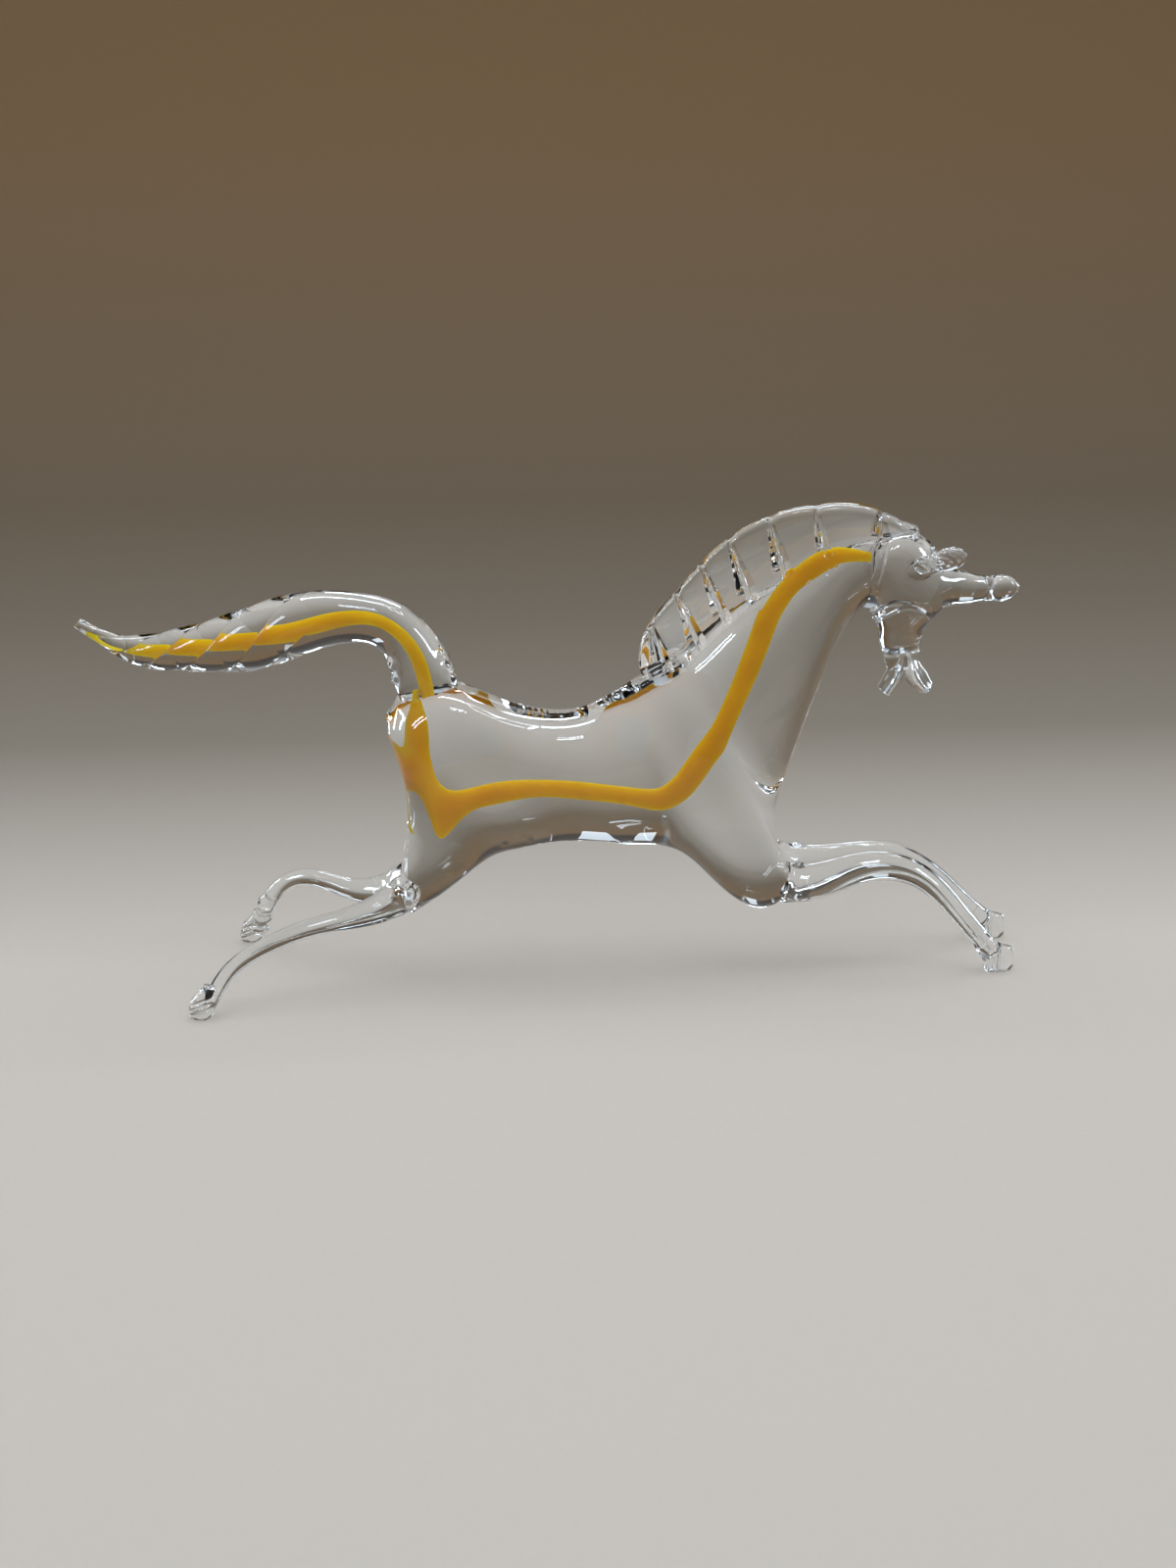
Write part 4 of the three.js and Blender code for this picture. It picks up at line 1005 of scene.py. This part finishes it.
class GLASSHORSE_OT_legs(HorseMaker, bpy.types.Operator):
    """Draws the four legs out of the body to their pasterns"""

    bl_idname = "glass_horse.legs"
    bl_label = "Legs"

    def make(self, sizes):
        """Rings along a natural spline through the leg's points, with a radius that tapers along it and a
        few ridges, a cosine of the turn."""
        rings, columns = 260, 96
        for node, leg in LEGS.items():
            root, shank, half_track, _ = leg_sizes(leg, sizes)
            hoof_line, _, _, _, aim = hoof_axes(leg, sizes)
            out = np.maximum(np.arange(len(leg.line)) - 1, 0) / len(leg.line)
            points = in_plane(leg.line)
            points[:, 1] = leg.side * ((root / 2 + LEG_GAP) * (1 - out) + half_track * out)
            end = hoof_line[0] + aim * LEG_END
            end[0] -= np.sign(leg.hoof_x) * LEG_END_ASIDE[leg.pair]
            points = np.vstack([points, end])
            radius = (shank + (root - shank) * np.array(LEG_TAPERS[leg.pair])) / 2
            knots = distances(points)
            run = np.linspace(0, knots[-1], rings)
            at = natural(knots, np.column_stack([points, radius]), run)
            back = knots[-1] - run
            crimped = smoothstep(-back, -CRIMPED_STRETCH, -CRIMPED_STRETCH / 2)
            thick = at[:, 3] * (1 + leg.crimps * (np.cos(np.pi * back / CRIMP_LENGTH) ** 2 * crimped))
            ridges = 1 + LEG_RIDGE_SHARE * np.cos(LEG_RIDGES * turns(columns))
            form = oval_form(domed(sweep_axes(at[:, :3], thick, thick), LEG_BULGES), columns, ridges)
            clear_piece(node, beaded(form, self.weld_beads(form, WELD_RUNS[leg.pair])))

    def weld_beads(self, form, weld_run):
        """Beads at equal turns round the weld, each a little before or past it."""
        runs = distances(form.centre)
        k = np.arange(WELD_BEADS)
        rings = np.searchsorted(runs, weld_run + WELD_BEAD_STAGGER * np.cos(np.pi * k))
        places = form.grid[rings, k * form.grid.shape[1] // WELD_BEADS]
        return [(*place, WELD_BEAD_HEIGHT, WELD_BEAD_BREADTH) for place in places]


class GLASSHORSE_OT_hooves(HorseMaker, bpy.types.Operator):
    """Pinches a bead at the end of each leg for a hoof"""

    bl_idname = "glass_horse.hooves"
    bl_label = "Hooves"

    def make(self, sizes):
        """Ovals pinched flat by the square of the sine of the turn, with slanting marks of the pliers
        across both faces, and level where they stand."""
        columns = 96
        face = np.sin(turns(columns))
        for leg in LEGS.values():
            line, tall, wide, pinched, aim = hoof_axes(leg, sizes)
            form = oval_form((line, tall, wide), columns)
            if leg.pair == "fore":
                edges = form.grid[KNOB_RING, [0, columns // 2]]
                form = beaded(form, [(*edge, KNOB_HEIGHT, KNOB_BREADTH) for edge in edges])
            out = form.grid - line[0]
            way = out @ aim + PLIER_SLANT * (out @ unit(np.cross(aim, ACROSS)))
            marks = sum(groove(way - mark, PLIER_BREADTH) for mark in PLIER_MARKS)
            pinch = (HOOF_PINCH * face**2 + PLIER_DEPTH * marks) * pinched[:, None] * face
            grid = form.grid - ACROSS * pinch[..., None]
            grid[..., 2] = np.maximum(grid[..., 2], 0.0)
            clear_piece(leg.hoof, form._replace(grid=grid))


def ring_radii(form, columns=128):
    """Radius of each ring by the turn, in shares of its half axes, at equal turns."""
    out = form.grid - form.centre[:, None]
    rise = np.einsum("ijk,ik->ij", out, form.tall) / np.sum(form.tall**2, axis=1)[:, None]
    width = np.einsum("ijk,ik->ij", out, form.wide) / np.sum(form.wide**2, axis=1)[:, None]
    turn, radius = np.arctan2(width, rise), np.hypot(width, rise)
    return np.array([np.interp(turns(columns), t, r, period=2 * np.pi) for t, r in zip(turn, radius)])


def thinned(form, most=110):
    """The same form with fewer rings."""
    step = max(1, len(form.centre) // most)
    return Form(*(values[::step] for values in form))


def inside(form, points):
    """True for points between the planes of two rings in a row and within the outline blended from both."""
    form = thinned(form)
    radii = ring_radii(form)
    normal = unit(np.cross(form.tall, form.wide))
    normal *= np.sign(np.sum(normal[:-1] * np.diff(form.centre, axis=0)))
    depth = points @ normal.T - np.sum(form.centre * normal, axis=1)
    p, k = np.nonzero((depth[:, :-1] >= 0) & (depth[:, 1:] < 0))
    weight = depth[p, k] / (depth[p, k] - depth[p, k + 1])

    def reach(ring):
        """How far out the points lie, as a share of the way to the ring's outline."""
        out = points[p] - form.centre[ring]
        rise = np.sum(out * form.tall[ring], axis=1) / np.sum(form.tall[ring] ** 2, axis=1)
        width = np.sum(out * form.wide[ring], axis=1) / np.sum(form.wide[ring] ** 2, axis=1)
        column = np.arctan2(width, rise) / (2 * np.pi) * radii.shape[1]
        return np.hypot(rise, width) / radii[ring, np.round(column).astype(int) % radii.shape[1]]

    within = reach(k) * (1 - weight) + reach(k + 1) * weight < 1
    found = np.zeros(len(points), bool)
    found[p[within]] = True
    return found


def melt_faces(piece, form):
    """Gives the faces of a piece that lie inside another form the material of a melted seam."""
    polygons = piece.data.polygons
    centres = np.empty(len(polygons) * 3)
    polygons.foreach_get("center", centres)
    centres = (centres.reshape(-1, 3) - SIDE_ORIGIN) / MM
    slots = np.empty(len(polygons), np.int32)
    polygons.foreach_get("material_index", slots)
    near = np.all((centres > form.grid.min(axis=(0, 1))) & (centres < form.grid.max(axis=(0, 1))), axis=1)
    near = np.nonzero(near)[0]
    slots[near[inside(form, centres[near])]] = SEAM_SLOT
    polygons.foreach_set("material_index", slots)


class GLASSHORSE_OT_welds(HorseMaker, bpy.types.Operator):
    """Melts the clear pieces together: no surface is seen where one lies inside another"""

    bl_idname = "glass_horse.welds"
    bl_label = "Welds"

    def make(self, sizes):
        """Each pair of welded pieces, both ways round."""
        for one, other in WELDS:
            melt_faces(pieces[one], forms[other])
            melt_faces(pieces[other], forms[one])


def outward(azimuth, elevation):
    """Direction at an azimuth from the front and an elevation in degrees."""
    around, up = np.radians(azimuth), np.radians(elevation)
    return np.array([np.sin(around) * np.cos(up), -np.cos(around) * np.cos(up), np.sin(up)])


class GLASSHORSE_OT_stage(bpy.types.Operator):
    """Sets the floor, the backdrop, the lamps and the camera"""

    bl_idname = "glass_horse.stage"
    bl_label = "Stage"

    def execute(self, context):
        """Builds each part of the stage."""
        stage = context.scene.horse_stage
        self.sweep()
        self.lamps(stage)
        self.surroundings(context.scene, stage)
        self.camera(context.scene, stage)
        return {"FINISHED"}

    def sweep(self):
        """A floor that curves up into a backdrop: its outline is a straight, a quarter circle and a
        straight, carried along X."""
        bend_rows, columns = 48, 9
        quarter = np.linspace(0, np.pi / 2, bend_rows)
        bend_y = SWEEP_BEND + SWEEP_RADIUS * np.sin(quarter)
        bend_z = SWEEP_RADIUS * (1 - np.cos(quarter))
        y = np.r_[SWEEP_FRONT, bend_y, SWEEP_BEND + SWEEP_RADIUS]
        z = np.r_[0.0, bend_z, SWEEP_TOP]
        across = np.linspace(-SWEEP_HALF_WIDTH, SWEEP_HALF_WIDTH, columns)
        rows = len(y)
        grid = np.stack([np.tile(across, rows), np.repeat(y, columns), np.repeat(z, columns)], -1)
        i, j = np.meshgrid(np.arange(rows - 1), np.arange(columns - 1), indexing="ij")
        corner = i * columns + j
        quads = np.stack([corner, corner + 1, corner + columns + 1, corner + columns], -1).reshape(-1, 4)
        mesh = bpy.data.meshes.new("sweep")
        mesh.from_pydata(grid.tolist(), [], quads.tolist())
        mesh.shade_smooth()
        mesh.materials.append(material_of("backdrop_paper", self.paper))
        floor = bpy.data.objects.new("sweep", mesh)
        bpy.context.scene.collection.objects.link(floor)

    def paper(self, tree):
        """Matt paper whose colour goes by depth plus height, from the floor up the backdrop: its darkening
        behind the horse and towards the top is painted shade, its warm brown tint the paper's own.
        """
        stage = bpy.context.scene.horse_stage
        place = add_node(tree, "SeparateXYZ", {0: add_node(tree, "TexCoord")["Object"]})
        way = add_node(tree, "Math", {0: place["Y"], 1: place["Z"]}, operation="ADD")
        part = add_node(tree, "MapRange", {"Value": way[0], "From Min": 0.0, "From Max": PAPER_REACH})
        return add_node(tree, "BsdfPrincipled", {
            "Base Color": ramp(tree, part[0], *((at, getattr(stage, name)) for at, name in PAPER_SHADE_STOPS)),
            "Roughness": 0.9,
            "Specular IOR Level": 0.0,
            "Normal": rippled(tree, scale=900.0, height=0.0001),
        })[0]

    def lamps(self, stage):
        """Windows of thin bright panes for crisp lights on the glass, and one large soft lamp overhead."""
        for name, azimuth, elevation, pane_length, pane_width, spacing, panes, turn, glow in WINDOWS:
            away = outward(azimuth, elevation)
            facing = Vector(away).to_track_quat("Z", "Y") @ Quaternion((0.0, 0.0, 1.0), np.radians(turn))
            for k in range(panes):
                power = stage.window_glow * glow * np.pi * pane_length * pane_width
                pane = self.lamp(f"{name}_{k}", power, pane_length, pane_width)
                pane.data.color = stage.window_colour
                beside = facing @ Vector((0.0, (k - (panes - 1) / 2) * spacing, 0.0))
                pane.location = Vector(away * WINDOW_DISTANCE) + Vector((0.0, 0.0, WINDOW_LIFT)) + beside
                pane.rotation_euler = facing.to_euler()
                pane.visible_diffuse = False
                pane.visible_camera = False
        soft = self.lamp("soft_overhead", stage.soft_power, *SOFT_SIZE)
        soft.location = SOFT_PLACE
        soft.visible_glossy = False
        soft.visible_transmission = False

    def lamp(self, name, power, length_x, length_y):
        """A rectangular lamp that shines down."""
        data = bpy.data.lights.new(name, "AREA")
        data.shape = "RECTANGLE"
        data.size = length_x
        data.size_y = length_y
        data.energy = power
        lamp = bpy.data.objects.new(name, data)
        bpy.context.scene.collection.objects.link(lamp)
        return lamp

    def surroundings(self, scene, stage):
        """A plain room that the camera and the glass see, brighter to the left and right by how far the
        view points along X, and an even fill light for matt surfaces."""
        world = bpy.data.worlds.new("room")
        world.use_nodes = True
        tree = world.node_tree
        view = add_node(tree, "SeparateXYZ", {0: add_node(tree, "TexCoord")["Generated"]})
        sideways = add_node(tree, "Math", {0: view["X"]}, operation="ABSOLUTE")
        room = ramp(tree, sideways[0], (ROOM_EDGE, stage.room_colour), (1.0, stage.room_side_colour))
        background = tree.nodes["Background"]
        background.inputs["Strength"].default_value = 1.0
        tree.links.new(room, background.inputs["Color"])
        grey = (stage.fill_light, stage.fill_light, stage.fill_light, 1.0)
        fill = add_node(tree, "Background", {"Color": grey})
        matt = add_node(tree, "LightPath")["Is Diffuse Ray"]
        seen = add_node(tree, "MixShader", {"Fac": matt, 1: background.outputs[0], 2: fill[0]})
        tree.links.new(seen[0], tree.nodes["World Output"].inputs["Surface"])
        scene.world = world

    def camera(self, scene, stage):
        """Looks at the horse from its right side, a little from behind and above."""
        target = Vector(CAMERA_TARGET) + Vector(SIDE_ORIGIN)
        away = Vector(outward(CAMERA_AZIMUTH, CAMERA_ELEVATION))
        data = bpy.data.cameras.new("camera")
        data.sensor_fit = "VERTICAL"
        data.sensor_height = 36.0
        data.lens = 50.0
        data.clip_start = 0.01
        camera = bpy.data.objects.new("camera", data)
        camera.location = target + away * stage.camera_distance
        camera.rotation_euler = (-away).to_track_quat("-Z", "Y").to_euler()
        scene.collection.objects.link(camera)
        scene.camera = camera
        scene.view_settings.view_transform = "Standard"


MAKERS = (
    GLASSHORSE_OT_stage, GLASSHORSE_OT_body, GLASSHORSE_OT_cores, GLASSHORSE_OT_head, GLASSHORSE_OT_mane,
    GLASSHORSE_OT_forelock, GLASSHORSE_OT_ears, GLASSHORSE_OT_tail, GLASSHORSE_OT_legs,
    GLASSHORSE_OT_hooves, GLASSHORSE_OT_welds,
)


class GLASSHORSE_PT_panel(bpy.types.Panel):
    """Lists the makers of the horse and its stage"""

    bl_idname = "GLASSHORSE_PT_panel"
    bl_label = "Glass Horse"
    bl_space_type = "VIEW_3D"
    bl_region_type = "UI"
    bl_category = "Glass Horse"

    def draw(self, context):
        """One button for each maker."""
        for maker in MAKERS:
            self.layout.operator(maker.bl_idname)


GROUPS = {"horse_sizes": HorseSizes, "horse_finish": HorseFinish, "horse_stage": HorseStage}


def register():
    """Registers the sizes, the makers and the panel."""
    for name, group in GROUPS.items():
        bpy.utils.register_class(group)
        setattr(bpy.types.Scene, name, bpy.props.PointerProperty(type=group))
    for cls in (*MAKERS, GLASSHORSE_PT_panel):
        bpy.utils.register_class(cls)


def unregister():
    """Takes back what register did."""
    for cls in (GLASSHORSE_PT_panel, *reversed(MAKERS)):
        bpy.utils.unregister_class(cls)
    for name, group in GROUPS.items():
        delattr(bpy.types.Scene, name)
        bpy.utils.unregister_class(group)


def main():
    """Makes the stage and every piece."""
    register()
    for maker in MAKERS:
        getattr(bpy.ops.glass_horse, maker.bl_idname.split(".")[1])()


if __name__ == "__main__":
    main()
